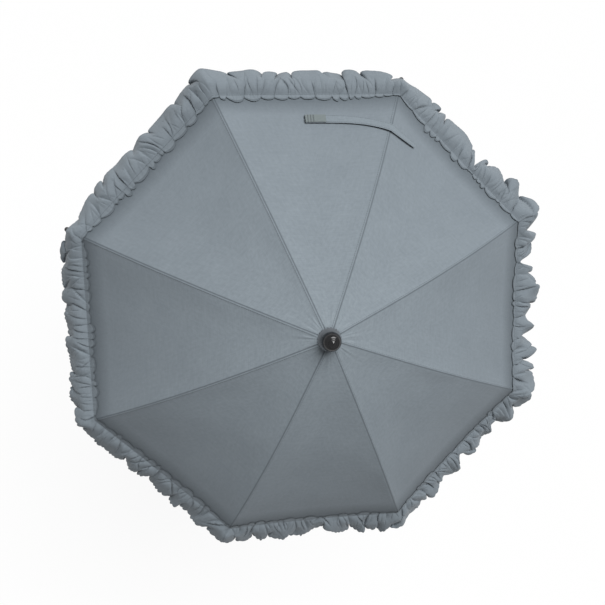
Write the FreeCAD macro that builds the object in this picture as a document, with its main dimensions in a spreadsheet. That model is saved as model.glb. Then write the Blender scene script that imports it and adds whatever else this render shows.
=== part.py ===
import FreeCAD, Part
import math
import os
import types

import Sketcher

# Pram parasol: a canopy of eight cloth panels with a gathered frill, on a folding frame of ribs and
# stretchers, on a jointed shaft with a screw clamp. Millimetres and degrees.
# The origin is the middle of the clamp's bore, which goes round a pram's tube along Y. The shaft is on Z.

RIBS = 8
WASHER_TEETH = 24
FRILL_FOLDS = 9
KNOB_GRIPS = 6

SIZES = {
    # Fits shared by all pieces
    "fit_gap": 0.05,
    "run_gap": 0.3,
    # Shaft
    "shaft_radius": 5.0,
    "shaft_wall": 0.9,
    "crown_height": 700.0,
    "knuckle_height": 268.0,
    # Ribs
    "pivot_circle": 12.0,
    "tip_overhang": 11.0,
    "rib_start_slope": 11.0,
    "rib_end_slope": 35.0,
    "rib_radius": 1.3,
    "rib_bar_radius": 1.0,
    "rib_bar_length": 6.0,
    "rib_eye_radius": 2.2,
    "rib_joint_turn": 0.5,
    "rivet_radius": 0.8,
    "rivet_head_radius": 1.5,
    "rivet_head_height": 0.6,
    # Rib tips
    "tip_ball_radius": 3.2,
    "tip_sleeve_radius": 2.1,
    "tip_sleeve_length": 9.0,
    "tip_thread_radius": 0.6,
    # Stretchers
    "stretcher_length": 141.0,
    "channel_width": 4.4,
    "channel_wall": 0.6,
    "channel_half_height": 2.4,
    "fork_depth": 9.0,
    "tongue_length": 28.0,
    "tongue_thickness": 1.6,
    "tongue_half_height": 1.4,
    "plug_length": 3.0,
    "stretcher_bar_length": 5.0,
    # Crown and runner
    "hub_flange_radius": 17.0,
    "hub_lip": 1.6,
    "hub_depth": 5.5,
    "hub_slot_inset": 2.6,
    "crown_neck_radius": 8.0,
    "crown_neck_length": 12.0,
    "cap_radius": 15.0,
    "cap_thickness": 1.0,
    "sleeve_radius": 7.4,
    "sleeve_length": 42.0,
    "grip_radius": 9.4,
    "grip_length": 9.0,
    # Catch below the runner
    "catch_length": 26.0,
    "catch_reach": 2.0,
    "catch_leaf": 0.8,
    "catch_width": 2.6,
    # Washer and finial
    "washer_radius": 15.0,
    "washer_thickness": 0.9,
    "notch_radius": 1.1,
    "finial_foot_radius": 9.0,
    "finial_foot_height": 2.2,
    "finial_ball_radius": 12.2,
    "finial_ball_cut": 9.6,
    "finial_button_radius": 5.4,
    "finial_button_rise": 1.4,
    "finial_button_dome": 1.8,
    "finial_socket": 9.0,
    # Canopy
    "cloth_thickness": 0.8,
    "cloth_gap": 0.35,
    "cloth_hole_radius": 7.0,
    "hem_reach": 329.0,
    "hem_sag": 5.5,
    "crown_blend": 22.0,
    # Frill
    "frill_inset": 13.0,
    "frill_heading": 5.5,
    "frill_drop": 38.5,
    "frill_fold_height": 9.0,
    "frill_heading_height": 3.0,
    "frill_end_gap": 7.0,
    # Closing strap
    "strap_inset": 59.0,
    "strap_width": 12.0,
    "strap_thickness": 1.2,
    "strap_long_arm": 110.0,
    "strap_short_arm": 40.0,
    "strap_lead": 18.0,
    "strap_twist": 110.0,
    "strap_patch_length": 27.0,
    "strap_patch_width": 11.0,
    "strap_patch_thickness": 1.0,
    # Tilt knuckle
    "knuckle_radius": 12.0,
    "knuckle_neck": 18.0,
    "socket_radius": 8.5,
    "socket_length": 30.0,
    "socket_chamfer": 1.5,
    "tongue_plate": 8.4,
    "fork_ear": 6.5,
    "ear_angle": 20.0,
    "pin_radius": 2.5,
    "pin_head_radius": 5.0,
    "pin_head_height": 2.0,
    "button_radius": 5.8,
    "button_height": 4.6,
    "button_stroke": 2.5,
    "button_recess": 4.2,
    "edge_round": 1.2,
    # Clamp
    "tube_radius": 12.5,
    "pad_thickness": 2.0,
    "pad_width": 26.0,
    "jaw_wall": 6.5,
    "jaw_width": 30.0,
    "jaw_lip_angle": 60.0,
    "arm_inside": 24.0,
    "arm_thickness": 10.0,
    "arm_drop": 11.0,
    "screw_boss_radius": 9.0,
    "screw_boss_length": 4.0,
    "clamp_socket_radius": 9.5,
    "clamp_socket_rise": 38.0,
    "screw_radius": 4.0,
    "screw_length": 47.0,
    "shoe_radius": 9.0,
    "shoe_thickness": 4.2,
    "shoe_recess": 2.2,
    "knob_radius": 16.0,
    "knob_thickness": 13.0,
    "knob_grip_radius": 5.0,
    "knob_round": 2.0,
}

document = FreeCAD.newDocument("pram_parasol")
sheet = document.addObject("Spreadsheet::Sheet", "Size")
for row, (alias, value) in enumerate(SIZES.items(), 1):
    sheet.set(f"A{row}", alias)
    sheet.set(f"B{row}", str(value))
    sheet.setAlias(f"B{row}", alias)
document.recompute()
size = types.SimpleNamespace(**SIZES)
pieces = []

# Helpers


def worth(expression):
    """The number that an expression on the sheet stands for."""
    return float(sheet.evalExpression(expression))


def sin(angle):
    return math.sin(math.radians(angle))


def cos(angle):
    return math.cos(math.radians(angle))


def vector(x, y, z):
    return FreeCAD.Vector(x, y, z)


def turned_about(axis, angle, base=FreeCAD.Vector()):
    return FreeCAD.Placement(base, FreeCAD.Rotation(axis, angle))


X_AXIS = vector(1, 0, 0)
Y_AXIS = vector(0, 1, 0)
Z_AXIS = vector(0, 0, 1)


def solid(kind, name, placement, **sizes):
    """A Part primitive whose sizes are expressions on the sheet."""
    item = document.addObject(kind, name)
    for prop, expression in sizes.items():
        item.setExpression(prop, expression)
    item.Placement = placement
    return item


def upright(name, radius, height, bottom, x=0.0, y=0.0):
    place = FreeCAD.Placement(vector(x, y, bottom), FreeCAD.Rotation())
    return solid("Part::Cylinder", name, place, Radius=radius, Height=height)


def across(name, radius, length, x, z):
    """A round bar along Y with its middle at (x, 0, z)."""
    place = turned_about(X_AXIS, -90, vector(x, -worth(length) / 2, z))
    return solid("Part::Cylinder", name, place, Radius=radius, Height=length)


def block(name, length, width, height, x, z):
    """A box from x and z on, centred on Y."""
    place = FreeCAD.Placement(vector(x, -worth(width) / 2, z), FreeCAD.Rotation())
    return solid("Part::Box", name, place, Length=length, Width=width, Height=height)


def fuse(name, *items):
    joined = document.addObject("Part::MultiFuse", name)
    joined.Shapes = list(items)
    return joined


def cut(name, base, tool):
    result = document.addObject("Part::Cut", name)
    result.Base = base
    result.Tool = tool
    return result


def piece(label, item):
    item.Label = label
    pieces.append(item)
    return item


def around(label, *solids):
    """One node for each rib: the same solids turned about the shaft."""
    for number in range(RIBS):
        node = document.addObject("Part::Compound", f"{label}_{number + 1}")
        node.Links = list(solids)
        node.Placement = turned_about(Z_AXIS, (number + 0.5) * 360 / RIBS)
        piece(f"{label}_{number + 1}", node)


def new_body(name):
    return document.addObject("PartDesign::Body", name)


def sketch_on(body, name, role, offset=None):
    """A sketch on one of the body's origin planes, moved along its normal by an expression."""
    sketch = body.newObject("Sketcher::SketchObject", name)
    plane = [feature for feature in body.Origin.OriginFeatures if feature.Role == role][0]
    sketch.AttachmentSupport = [(plane, "")]
    sketch.MapMode = "FlatFace"
    if offset:
        sketch.setExpression("AttachmentOffset.Base.z", offset)
    return sketch


def hold(sketch, kind, geometry, point, expression):
    """Pin one coordinate of a sketch point to an expression."""
    value = worth(expression)
    if value == 0:
        axis = -2 if kind == "DistanceX" else -1
        sketch.addConstraint(Sketcher.Constraint("PointOnObject", geometry, point, axis))
        return
    index = sketch.addConstraint(Sketcher.Constraint(kind, -1, 1, geometry, point, value))
    sketch.setExpression(f"Constraints[{index}]", expression)


def outline(sketch, corners, arcs=None):
    """A closed outline. arcs gives, for an edge's number, its radius and a point that it goes near."""
    arcs = arcs or {}
    points = [vector(worth(x), worth(y), 0) for x, y in corners]
    starts = []
    for number, start in enumerate(points):
        end = points[(number + 1) % len(points)]
        if number in arcs:
            radius, near = arcs[number]
            edge = Part.Arc(start, arc_middle(start, end, worth(radius), near), end)
        else:
            edge = Part.LineSegment(start, end)
        geometry = sketch.addGeometry(edge)
        first = 1 if sketch.getPoint(geometry, 1).isEqual(start, 1e-6) else 2
        starts.append(first)
        if number in arcs:
            index = sketch.addConstraint(Sketcher.Constraint("Radius", geometry, worth(radius)))
            sketch.setExpression(f"Constraints[{index}]", radius)
    for number, (x, y) in enumerate(corners):
        before = (number - 1) % len(corners)
        end_of_before = 3 - starts[before]
        sketch.addConstraint(
            Sketcher.Constraint("Coincident", before, end_of_before, number, starts[number])
        )
        hold(sketch, "DistanceX", number, starts[number], x)
        hold(sketch, "DistanceY", number, starts[number], y)
    return sketch


def arc_middle(start, end, radius, near):
    """The middle of the arc from start to end that passes on the side of the point near."""
    chord = end - start
    half = chord.Length / 2
    middle = (start + end) * 0.5
    side = vector(-chord.y, chord.x, 0).normalize()
    towards = vector(near[0], near[1], 0) - middle
    if side.dot(towards) < 0:
        side = -side
    rise = math.sqrt(max(radius**2 - half**2, 0))
    reach = side.dot(towards)
    bulge = min(radius - rise, radius + rise, key=lambda option: abs(option - reach))
    return middle + side * bulge


def ring(sketch, x, y, radius):
    geometry = sketch.addGeometry(
        Part.Circle(vector(worth(x), worth(y), 0), Z_AXIS, worth(radius))
    )
    hold(sketch, "DistanceX", geometry, 3, x)
    hold(sketch, "DistanceY", geometry, 3, y)
    index = sketch.addConstraint(Sketcher.Constraint("Radius", geometry, worth(radius)))
    sketch.setExpression(f"Constraints[{index}]", radius)
    return sketch


def revolve(body, name, corners, arcs=None):
    sketch = outline(sketch_on(body, f"{name}_profile", "XZ_Plane"), corners, arcs)
    feature = body.newObject("PartDesign::Revolution", name)
    feature.Profile = sketch
    feature.ReferenceAxis = (sketch, ["V_Axis"])
    feature.Angle = 360
    return feature


def pad(body, name, sketch, length):
    feature = body.newObject("PartDesign::Pad", name)
    feature.Profile = sketch
    feature.SideType = "Symmetric"
    feature.setExpression("Length", length)
    return feature


def pocket(body, name, sketch, length, side="Symmetric", reverse=False):
    feature = body.newObject("PartDesign::Pocket", name)
    feature.Profile = sketch
    feature.SideType = side
    feature.Reversed = reverse
    feature.setExpression("Length", length)
    return feature


def repeat(body, name, features, sketch, axis, count):
    pattern = body.newObject("PartDesign::PolarPattern", name)
    pattern.Originals = features
    pattern.Axis = (sketch, [axis])
    pattern.Angle = 360
    pattern.Occurrences = count
    body.Tip = pattern
    return pattern


def soften(body, name, feature, radius, wanted):
    """Round the edges of a feature that the test accepts."""
    document.recompute()
    names = [f"Edge{n}" for n, edge in enumerate(feature.Shape.Edges, 1) if wanted(edge)]
    fillet = body.newObject("PartDesign::Fillet", name)
    fillet.Base = (feature, names)
    fillet.setExpression("Radius", radius)
    body.Tip = fillet
    return fillet


def loft(sections):
    """A smooth solid through closed sections, each a list of edges."""
    return Part.makeLoft([Part.Wire(edges) for edges in sections], True, False)


def shaped(label, shape):
    item = document.addObject("Part::Feature", label)
    item.Shape = shape
    item.Placement = FreeCAD.Placement()
    return item


# The rib's line in its own upright plane

TIP_REACH = "(Size.hem_reach + Size.tip_overhang)"
RIB_TURN = "(Size.rib_end_slope - Size.rib_start_slope)"
RIB_BEND = (
    f"(({TIP_REACH} - Size.pivot_circle)"
    " / cos((Size.rib_start_slope + Size.rib_end_slope) / 2)"
    f" / (2 * sin({RIB_TURN} / 2)))"
)
rib_bend = worth(RIB_BEND)


def rib_point(slope):
    """Radius and height of the rib's line where it slopes down by the given angle."""
    radius = size.pivot_circle + rib_bend * (sin(slope) - sin(size.rib_start_slope))
    height = size.crown_height + rib_bend * (cos(slope) - cos(size.rib_start_slope))
    return radius, height


def rib_slope(radius):
    """Slope of the rib's line at a radius from the shaft."""
    reached = (radius - size.pivot_circle) / rib_bend + sin(size.rib_start_slope)
    return math.degrees(math.asin(reached))


tip_radius, tip_height = rib_point(size.rib_end_slope)

# The stretcher is as long as the distance from the crown's pivot to its rivet, so that both slope alike.
# The rivet lies under the rib's line, which keeps the stretcher's fork clear of the cloth.

RIVET_DROP = "(Size.channel_half_height + 2 * Size.run_gap - Size.rib_radius)"
STRETCHER_CLIMB = (
    f"(Size.rib_start_slope + asin(Size.stretcher_length / (2 * {RIB_BEND})) / 1deg"
    f" + asin({RIVET_DROP} / Size.stretcher_length) / 1deg)"
)
RUNNER_HEIGHT = f"(Size.crown_height - 2 * Size.stretcher_length * sin({STRETCHER_CLIMB}))"
stretcher_climb = worth(STRETCHER_CLIMB)
runner_height = worth(RUNNER_HEIGHT)
joint_radius = size.pivot_circle + size.stretcher_length * cos(stretcher_climb)
joint_height = (size.crown_height + runner_height) / 2

# Ribs: a bent rod with a cross bar in the crown and an eye for the stretcher's rivet.
# The rod is made in four lengths, so that the bar and the eye each join a short one.

EYE_SLOPE = f"(Size.rib_start_slope + 2 * asin(Size.stretcher_length / (2 * {RIB_BEND})) / 1deg)"
BAR_END = "(Size.rib_start_slope + Size.rib_joint_turn)"
EYE_START = f"({EYE_SLOPE} - Size.rib_joint_turn)"
EYE_END = f"({EYE_SLOPE} + Size.rib_joint_turn)"


def bent_rod(name, upper_slope, lower_slope):
    """A length of the rib's rod between two slopes."""
    start = turned_about(X_AXIS, 90) * turned_about(Z_AXIS, 90 - worth(lower_slope))
    start.Base = vector(
        size.pivot_circle - rib_bend * sin(size.rib_start_slope),
        0,
        size.crown_height - rib_bend * cos(size.rib_start_slope),
    )
    return solid(
        "Part::Torus",
        name,
        start,
        Radius1=RIB_BEND,
        Radius2="Size.rib_radius",
        Angle3=f"{lower_slope} - {upper_slope}",
    )


rib_rod = fuse(
    "rib_rod",
    bent_rod("rod_at_bar", "Size.rib_start_slope", BAR_END),
    bent_rod("rod_inner", BAR_END, EYE_START),
    bent_rod("rod_at_eye", EYE_START, EYE_END),
    bent_rod("rod_outer", EYE_END, "Size.rib_end_slope"),
)
rib_bar = across(
    "rib_bar", "Size.rib_bar_radius", "Size.rib_bar_length", size.pivot_circle, size.crown_height
)
rib_eye = across(
    "rib_eye", "Size.rib_eye_radius", "2 * Size.rib_radius", joint_radius, joint_height
)
RIVET_HOLE = "Size.rivet_radius + Size.fit_gap"
rib_hole = across("rib_hole", RIVET_HOLE, "4 * Size.rib_radius", joint_radius, joint_height)
rib = cut("rib", fuse("rib_blank", rib_rod, rib_bar, rib_eye), rib_hole)

RIVET_GRIP = "(Size.channel_width + 2 * Size.fit_gap)"
rivet_shank = across(
    "rivet_shank", "Size.rivet_radius", RIVET_GRIP, joint_radius, joint_height
)
rivet_heads = across(
    "rivet_heads",
    "Size.rivet_head_radius",
    f"{RIVET_GRIP} + 2 * Size.rivet_head_height",
    joint_radius,
    joint_height,
)
rivet_gap = across("rivet_gap", "2 * Size.rivet_head_radius", RIVET_GRIP, joint_radius, joint_height)
rivet = fuse("rivet", rivet_shank, cut("rivet_head_pair", rivet_heads, rivet_gap))
around("rib", rib, rivet)

# Rib tips: a ball cap with a sleeve over the rod's end and a hole for the thread

tip_ball = solid(
    "Part::Sphere", "tip_ball", FreeCAD.Placement(), Radius="Size.tip_ball_radius"
)
tip_sleeve = upright(
    "tip_sleeve", "Size.tip_sleeve_radius", "Size.tip_sleeve_length", -size.tip_sleeve_length
)
tip_bore = upright(
    "tip_bore",
    "Size.rib_radius + 2 * Size.fit_gap",
    "2 * Size.tip_sleeve_length + Size.run_gap",
    -2 * size.tip_sleeve_length,
)
tip_thread = across(
    "tip_thread", "Size.tip_thread_radius", "3 * Size.tip_ball_radius", 0, size.tip_ball_radius / 2
)
tip = cut("tip", fuse("tip_blank", tip_ball, tip_sleeve), fuse("tip_tools", tip_bore, tip_thread))
tip.Placement = turned_about(Y_AXIS, 90 + size.rib_end_slope, vector(tip_radius, 0, tip_height))
around("rib_tip", tip)

# Stretchers: a steel channel, open below, with a fork at the rib and a pressed tongue at the runner

CHANNEL_INSIDE = "(Size.channel_width - 2 * Size.channel_wall)"
PAST_EAR = "(2 * Size.channel_half_height)"
channel = block(
    "channel",
    "Size.stretcher_length - Size.tongue_length",
    "Size.channel_width",
    "2 * Size.channel_half_height",
    size.tongue_length,
    -size.channel_half_height,
)
channel_ear = across(
    "channel_ear", "Size.channel_half_height", "Size.channel_width", size.stretcher_length, 0
)
tongue = block(
    "tongue",
    "Size.tongue_length + Size.plug_length / 2",
    "Size.tongue_thickness",
    "2 * Size.tongue_half_height",
    0,
    -size.tongue_half_height,
)
stretcher_bar = across("stretcher_bar", "Size.rib_bar_radius", "Size.stretcher_bar_length", 0, 0)
channel_hollow = block(
    "channel_hollow",
    f"Size.stretcher_length - Size.tongue_length - Size.plug_length + {PAST_EAR}",
    CHANNEL_INSIDE,
    "2 * Size.channel_half_height",
    size.tongue_length + size.plug_length,
    -size.channel_half_height - size.channel_wall,
)
fork_gap = block(
    "fork_gap",
    f"Size.fork_depth + {PAST_EAR}",
    CHANNEL_INSIDE,
    "4 * Size.channel_half_height",
    size.stretcher_length - size.fork_depth,
    -2 * size.channel_half_height,
)
fork_hole = across("fork_hole", RIVET_HOLE, "2 * Size.channel_width", size.stretcher_length, 0)
stretcher = cut(
    "stretcher",
    fuse("stretcher_blank", channel, channel_ear, tongue, stretcher_bar),
    fuse("stretcher_tools", channel_hollow, fork_gap, fork_hole),
)
stretcher.Placement = turned_about(
    Y_AXIS, -stretcher_climb, vector(size.pivot_circle, 0, runner_height)
)
around("stretcher", stretcher)

# Crown and runner: hubs with eight slots and seats for the cross bars

BORE = "(Size.shaft_radius + Size.fit_gap)"
SLIDE_BORE = "(Size.shaft_radius + Size.run_gap / 2)"
SLOT_START = "(Size.pivot_circle - Size.hub_slot_inset)"
SLOT_END = "(Size.hub_flange_radius + Size.hub_lip)"
SEAT_HALF = "(Size.rib_bar_radius + Size.fit_gap)"
CROWN_TOP = "(Size.crown_height + Size.hub_lip)"
CROWN_FLOOR = "(Size.crown_height - Size.hub_depth)"
CROWN_BOTTOM = f"({CROWN_FLOOR} - Size.crown_neck_length)"
RUNNER_TOP = f"({RUNNER_HEIGHT} + Size.hub_depth)"
RUNNER_FLOOR = f"({RUNNER_HEIGHT} - Size.hub_lip)"
RUNNER_BOTTOM = f"({RUNNER_FLOOR} - Size.sleeve_length)"


def slotted(body, name, top, slot_width, seat_length, seat_low, seat_high):
    """Cut the slots for the arms and the seats for their cross bars into a hub."""
    slot_sketch = sketch_on(body, f"{name}_slot_outline", "XY_Plane", top)
    half = f"({slot_width} / 2)"
    outline(
        slot_sketch,
        [(SLOT_START, f"-{half}"), (SLOT_END, f"-{half}"), (SLOT_END, half), (SLOT_START, half)],
    )
    slot = pocket(
        body, f"{name}_slot", slot_sketch, "4 * (Size.hub_depth + Size.hub_lip)"
    )
    seat_sketch = sketch_on(body, f"{name}_seat_outline", "XZ_Plane")
    near = f"(Size.pivot_circle - {SEAT_HALF})"
    far = f"(Size.pivot_circle + {SEAT_HALF})"
    outline(seat_sketch, [(near, seat_low), (far, seat_low), (far, seat_high), (near, seat_high)])
    seat = pocket(body, f"{name}_seat", seat_sketch, f"{seat_length} + 2 * Size.run_gap")
    repeat(body, f"{name}_slots", [slot, seat], slot_sketch, "N_Axis", RIBS)
    body.Placement = turned_about(Z_AXIS, 180 / RIBS)


crown = new_body("crown")
revolve(
    crown,
    "crown_turning",
    [
        (BORE, CROWN_BOTTOM),
        ("Size.crown_neck_radius", CROWN_BOTTOM),
        ("Size.crown_neck_radius", CROWN_FLOOR),
        ("Size.hub_flange_radius", CROWN_FLOOR),
        ("Size.hub_flange_radius", CROWN_TOP),
        (BORE, CROWN_TOP),
    ],
)
slotted(
    crown,
    "crown",
    CROWN_TOP,
    "(2 * Size.rib_radius + 2 * Size.run_gap)",
    "Size.rib_bar_length",
    f"(Size.crown_height - {SEAT_HALF})",
    f"({CROWN_TOP} + Size.hub_lip)",
)
piece("crown", crown)

runner = new_body("runner")
GRIP_TOP = f"({RUNNER_BOTTOM} + Size.grip_length)"
revolve(
    runner,
    "runner_turning",
    [
        (SLIDE_BORE, RUNNER_BOTTOM),
        ("Size.sleeve_radius", RUNNER_BOTTOM),
        ("Size.grip_radius", f"({RUNNER_BOTTOM} + Size.grip_length / 3)"),
        ("Size.grip_radius", f"({RUNNER_BOTTOM} + Size.grip_length * 2 / 3)"),
        ("Size.sleeve_radius", GRIP_TOP),
        ("Size.sleeve_radius", RUNNER_FLOOR),
        ("Size.hub_flange_radius", RUNNER_FLOOR),
        ("Size.hub_flange_radius", RUNNER_TOP),
        (SLIDE_BORE, RUNNER_TOP),
    ],
)
slotted(
    runner,
    "runner",
    RUNNER_TOP,
    "(Size.tongue_thickness + 2 * Size.run_gap)",
    "Size.stretcher_bar_length",
    f"({RUNNER_FLOOR} - Size.hub_lip)",
    f"({RUNNER_HEIGHT} + {SEAT_HALF})",
)
piece("runner", runner)

# Crown cap: a plate that shuts the seats of the ribs' cross bars

CAP_TOP = f"({CROWN_TOP} + Size.cap_thickness)"
crown_cap = new_body("crown_cap")
revolve(
    crown_cap,
    "crown_cap_turning",
    [
        (BORE, CROWN_TOP),
        ("Size.cap_radius", CROWN_TOP),
        ("Size.cap_radius", f"({CROWN_TOP} + Size.cap_thickness / 2)"),
        ("(Size.cap_radius - Size.cap_thickness)", CAP_TOP),
        (BORE, CAP_TOP),
    ],
)
piece("crown_cap", crown_cap)

# Toothed washer on the cloth, and the finial that screws down on it

CLOTH_SEAT = f"({CAP_TOP} + Size.cloth_gap)"
WASHER_SEAT = f"({CLOTH_SEAT} + Size.cloth_thickness + Size.cloth_gap)"
WASHER_TOP = f"({WASHER_SEAT} + Size.washer_thickness)"
washer = new_body("top_washer")
revolve(
    washer,
    "washer_turning",
    [
        (BORE, WASHER_SEAT),
        ("Size.washer_radius", WASHER_SEAT),
        ("Size.washer_radius", WASHER_TOP),
        (BORE, WASHER_TOP),
    ],
)
notch_sketch = sketch_on(washer, "notch_outline", "XY_Plane", WASHER_TOP)
ring(notch_sketch, "Size.washer_radius", "0", "Size.notch_radius")
notch = pocket(washer, "notch", notch_sketch, "4 * Size.washer_thickness")
repeat(washer, "notches", [notch], notch_sketch, "N_Axis", WASHER_TEETH)
piece("top_washer", washer)

BALL_NECK = "sqrt(Size.finial_ball_radius^2 - Size.finial_ball_cut^2)"
BALL_BOTTOM = f"({WASHER_TOP} + Size.finial_foot_height)"
BALL_MIDDLE = f"({BALL_BOTTOM} + Size.finial_ball_cut)"
BALL_TOP = f"({BALL_MIDDLE} + Size.finial_ball_cut)"
BUTTON_EDGE = f"({BALL_TOP} + Size.finial_button_rise)"
FINIAL_TOP = f"({BUTTON_EDGE} + Size.finial_button_dome)"
BUTTON_ROUND = (
    "((Size.finial_button_radius^2 + Size.finial_button_dome^2) / (2 * Size.finial_button_dome))"
)
finial = new_body("finial")
revolve(
    finial,
    "finial_turning",
    [
        (BORE, WASHER_TOP),
        ("Size.finial_foot_radius", WASHER_TOP),
        ("Size.finial_foot_radius", f"({WASHER_TOP} + Size.finial_foot_height / 2)"),
        (BALL_NECK, BALL_BOTTOM),
        (BALL_NECK, BALL_TOP),
        ("Size.finial_button_radius", BALL_TOP),
        ("Size.finial_button_radius", BUTTON_EDGE),
        ("0", FINIAL_TOP),
        ("0", f"({WASHER_TOP} + Size.finial_socket)"),
        (BORE, f"({WASHER_TOP} + Size.finial_socket)"),
    ],
    {
        3: ("Size.finial_ball_radius", (size.finial_ball_radius, worth(BALL_MIDDLE))),
        6: (BUTTON_ROUND, (size.finial_button_radius, worth(FINIAL_TOP))),
    },
)
piece("finial", finial)

# Shaft: two steel tubes, the upper one with a slot for the runner's catch

SHAFT_BOTTOM = "(Size.knuckle_height + Size.knuckle_neck)"
SHAFT_TOP = f"({WASHER_TOP} + Size.finial_socket - Size.run_gap)"
TUBE_BORE = "(Size.shaft_radius - Size.shaft_wall)"
CATCH_TOP = f"({RUNNER_BOTTOM} - Size.run_gap)"
CATCH_BOTTOM = f"({CATCH_TOP} - Size.catch_length)"
UPPER_LENGTH = f"({SHAFT_TOP} - {SHAFT_BOTTOM})"
upper_bottom = worth(SHAFT_BOTTOM)
upper_tube = upright("upper_tube", "Size.shaft_radius", UPPER_LENGTH, upper_bottom)
upper_bore = upright("upper_bore", TUBE_BORE, UPPER_LENGTH, upper_bottom)
catch_slot = block(
    "catch_slot",
    "2 * Size.shaft_radius",
    "Size.catch_width + 2 * Size.run_gap",
    "Size.catch_length + 2 * Size.run_gap",
    0,
    worth(CATCH_BOTTOM) - size.run_gap,
)
piece("shaft_upper", cut("upper_shaft", upper_tube, fuse("upper_tools", upper_bore, catch_slot)))

CLAMP_TOP = "(Size.tube_radius + Size.pad_thickness + Size.fit_gap + Size.jaw_wall)"
LOWER_BOTTOM = f"({CLAMP_TOP} + Size.fit_gap)"
LOWER_TOP = "(Size.knuckle_height - Size.knuckle_neck)"
LOWER_LENGTH = f"({LOWER_TOP} - {LOWER_BOTTOM})"
lower_tube = upright("lower_tube", "Size.shaft_radius", LOWER_LENGTH, worth(LOWER_BOTTOM))
lower_bore = upright("lower_bore", TUBE_BORE, LOWER_LENGTH, worth(LOWER_BOTTOM))
piece("shaft_lower", cut("lower_shaft", lower_tube, lower_bore))

# Catch: a bent spring leaf that stands out of the shaft under the open runner

LEAF_BACK = f"({TUBE_BORE} - Size.catch_leaf)"
LEAF_FRONT = "(Size.shaft_radius + Size.catch_reach)"
HOOK_FLOOR = f"({CATCH_TOP} - Size.catch_leaf)"
catch = new_body("runner_catch")
catch_sketch = outline(
    sketch_on(catch, "catch_outline", "XZ_Plane"),
    [
        (LEAF_BACK, CATCH_BOTTOM),
        (TUBE_BORE, CATCH_BOTTOM),
        (LEAF_FRONT, f"({CATCH_TOP} - 2 * Size.catch_leaf)"),
        (LEAF_FRONT, CATCH_TOP),
        (LEAF_BACK, CATCH_TOP),
        (LEAF_BACK, HOOK_FLOOR),
        (f"({LEAF_FRONT} - 2 * Size.catch_leaf)", HOOK_FLOOR),
    ],
)
pad(catch, "catch_leaf", catch_sketch, "Size.catch_width")
piece("runner_catch", catch)

# Canopy panels: cloth over two ribs, straight along the hem and slack between the ribs

HALF_PANEL = 180 / RIBS
skirt_start = size.hub_flange_radius + size.run_gap
panel_out = vector(cos(HALF_PANEL), sin(HALF_PANEL), 0)
panel_along = vector(-sin(HALF_PANEL), cos(HALF_PANEL), 0)


def cloth_height(radius):
    """Height of the cloth's underside on the rib, at a radius from the shaft."""
    over_cap = worth(CLOTH_SEAT)
    if radius <= skirt_start:
        return over_cap
    slope = rib_slope(radius)
    on_rib = rib_point(slope)[1] + (size.rib_radius + size.cloth_gap) / cos(slope)
    edge_slope = rib_slope(skirt_start)
    edge = rib_point(edge_slope)[1] + (size.rib_radius + size.cloth_gap) / cos(edge_slope)
    fade = math.exp((skirt_start - radius) / size.crown_blend)
    return on_rib + (over_cap - edge) * fade


def cloth_sag(radius):
    """How far the middle of the panel hangs below the straight line between its ribs."""
    return size.hem_sag * max(radius - skirt_start, 0) / (size.hem_reach - skirt_start)


def cloth_normal(radius):
    """The panel's upward normal in its middle."""
    if radius <= skirt_start:
        return Z_AXIS
    step = size.run_gap
    fall = (cloth_height(radius - step) - cloth_height(radius + step)) / (2 * step * cos(HALF_PANEL))
    length = math.hypot(1, fall)
    return panel_out * (fall / length) + Z_AXIS * (1 / length)


def panel_point(radius, share):
    """Point of the cloth's underside, with share from -1 on one rib to 1 on the next."""
    normal = cloth_normal(radius)
    middle = panel_out * (radius * cos(HALF_PANEL)) + Z_AXIS * cloth_height(radius)
    side = panel_along * (radius * sin(HALF_PANEL) * share)
    return middle + side - normal * (cloth_sag(radius) * (1 - share**2))


def panel_section(radius):
    rise = cloth_normal(radius) * size.cloth_thickness
    seam = size.run_gap / 2 / (radius * sin(HALF_PANEL))
    left = panel_point(radius, seam - 1)
    middle = panel_point(radius, 0)
    right = panel_point(radius, 1 - seam)
    if cloth_sag(radius) == 0:
        lower = Part.LineSegment(left, right)
        upper = Part.LineSegment(right + rise, left + rise)
    else:
        lower = Part.Arc(left, middle, right)
        upper = Part.Arc(right + rise, middle + rise, left + rise)
    edges = [
        lower,
        Part.LineSegment(right, right + rise),
        upper,
        Part.LineSegment(left + rise, left),
    ]
    return [edge.toShape() for edge in edges]


PANEL_STEPS = 6
STEP_GROWTH = 1.5
skirt = size.hem_reach - skirt_start
skirt_shares = [(step / PANEL_STEPS) ** STEP_GROWTH for step in range(PANEL_STEPS + 1)]
skirt_radii = [skirt_start + skirt * share for share in skirt_shares]
panel_skirt = loft([panel_section(radius) for radius in skirt_radii])
yoke_gap = panel_along * (size.run_gap / 2)
yoke_corners = [
    panel_point(size.cloth_hole_radius, -1) + yoke_gap,
    panel_point(skirt_start, -1) + yoke_gap,
    panel_point(skirt_start, 1) - yoke_gap,
    panel_point(size.cloth_hole_radius, 1) - yoke_gap,
]
yoke_face = Part.Face(Part.makePolygon(yoke_corners + yoke_corners[:1]))
panel_yoke = yoke_face.extrude(Z_AXIS * size.cloth_thickness)
panel = shaped("panel", panel_skirt.fuse(panel_yoke).removeSplitter())
around("panel", panel)

# Frill: a gathered band sewn on top of the hem, with its heading inwards and its folds open outwards

hem_normal = cloth_normal(size.hem_reach)
hem_fall = panel_along.cross(hem_normal).normalize()
if hem_fall.z > 0:
    hem_fall = -hem_fall
hem_half = size.hem_reach * sin(HALF_PANEL)
hem_middle = panel_out * (size.hem_reach * cos(HALF_PANEL)) + Z_AXIS * cloth_height(size.hem_reach)


# Shares of the heading's and the folds' full heights that stay where the band lies down, and of the
# drop at which a fold has opened
HEADING_LEAST = 0.4
BEND_PLACE = 0.45
BEND_LEAST = 0.15
BEND_GAIN = 0.6


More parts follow.
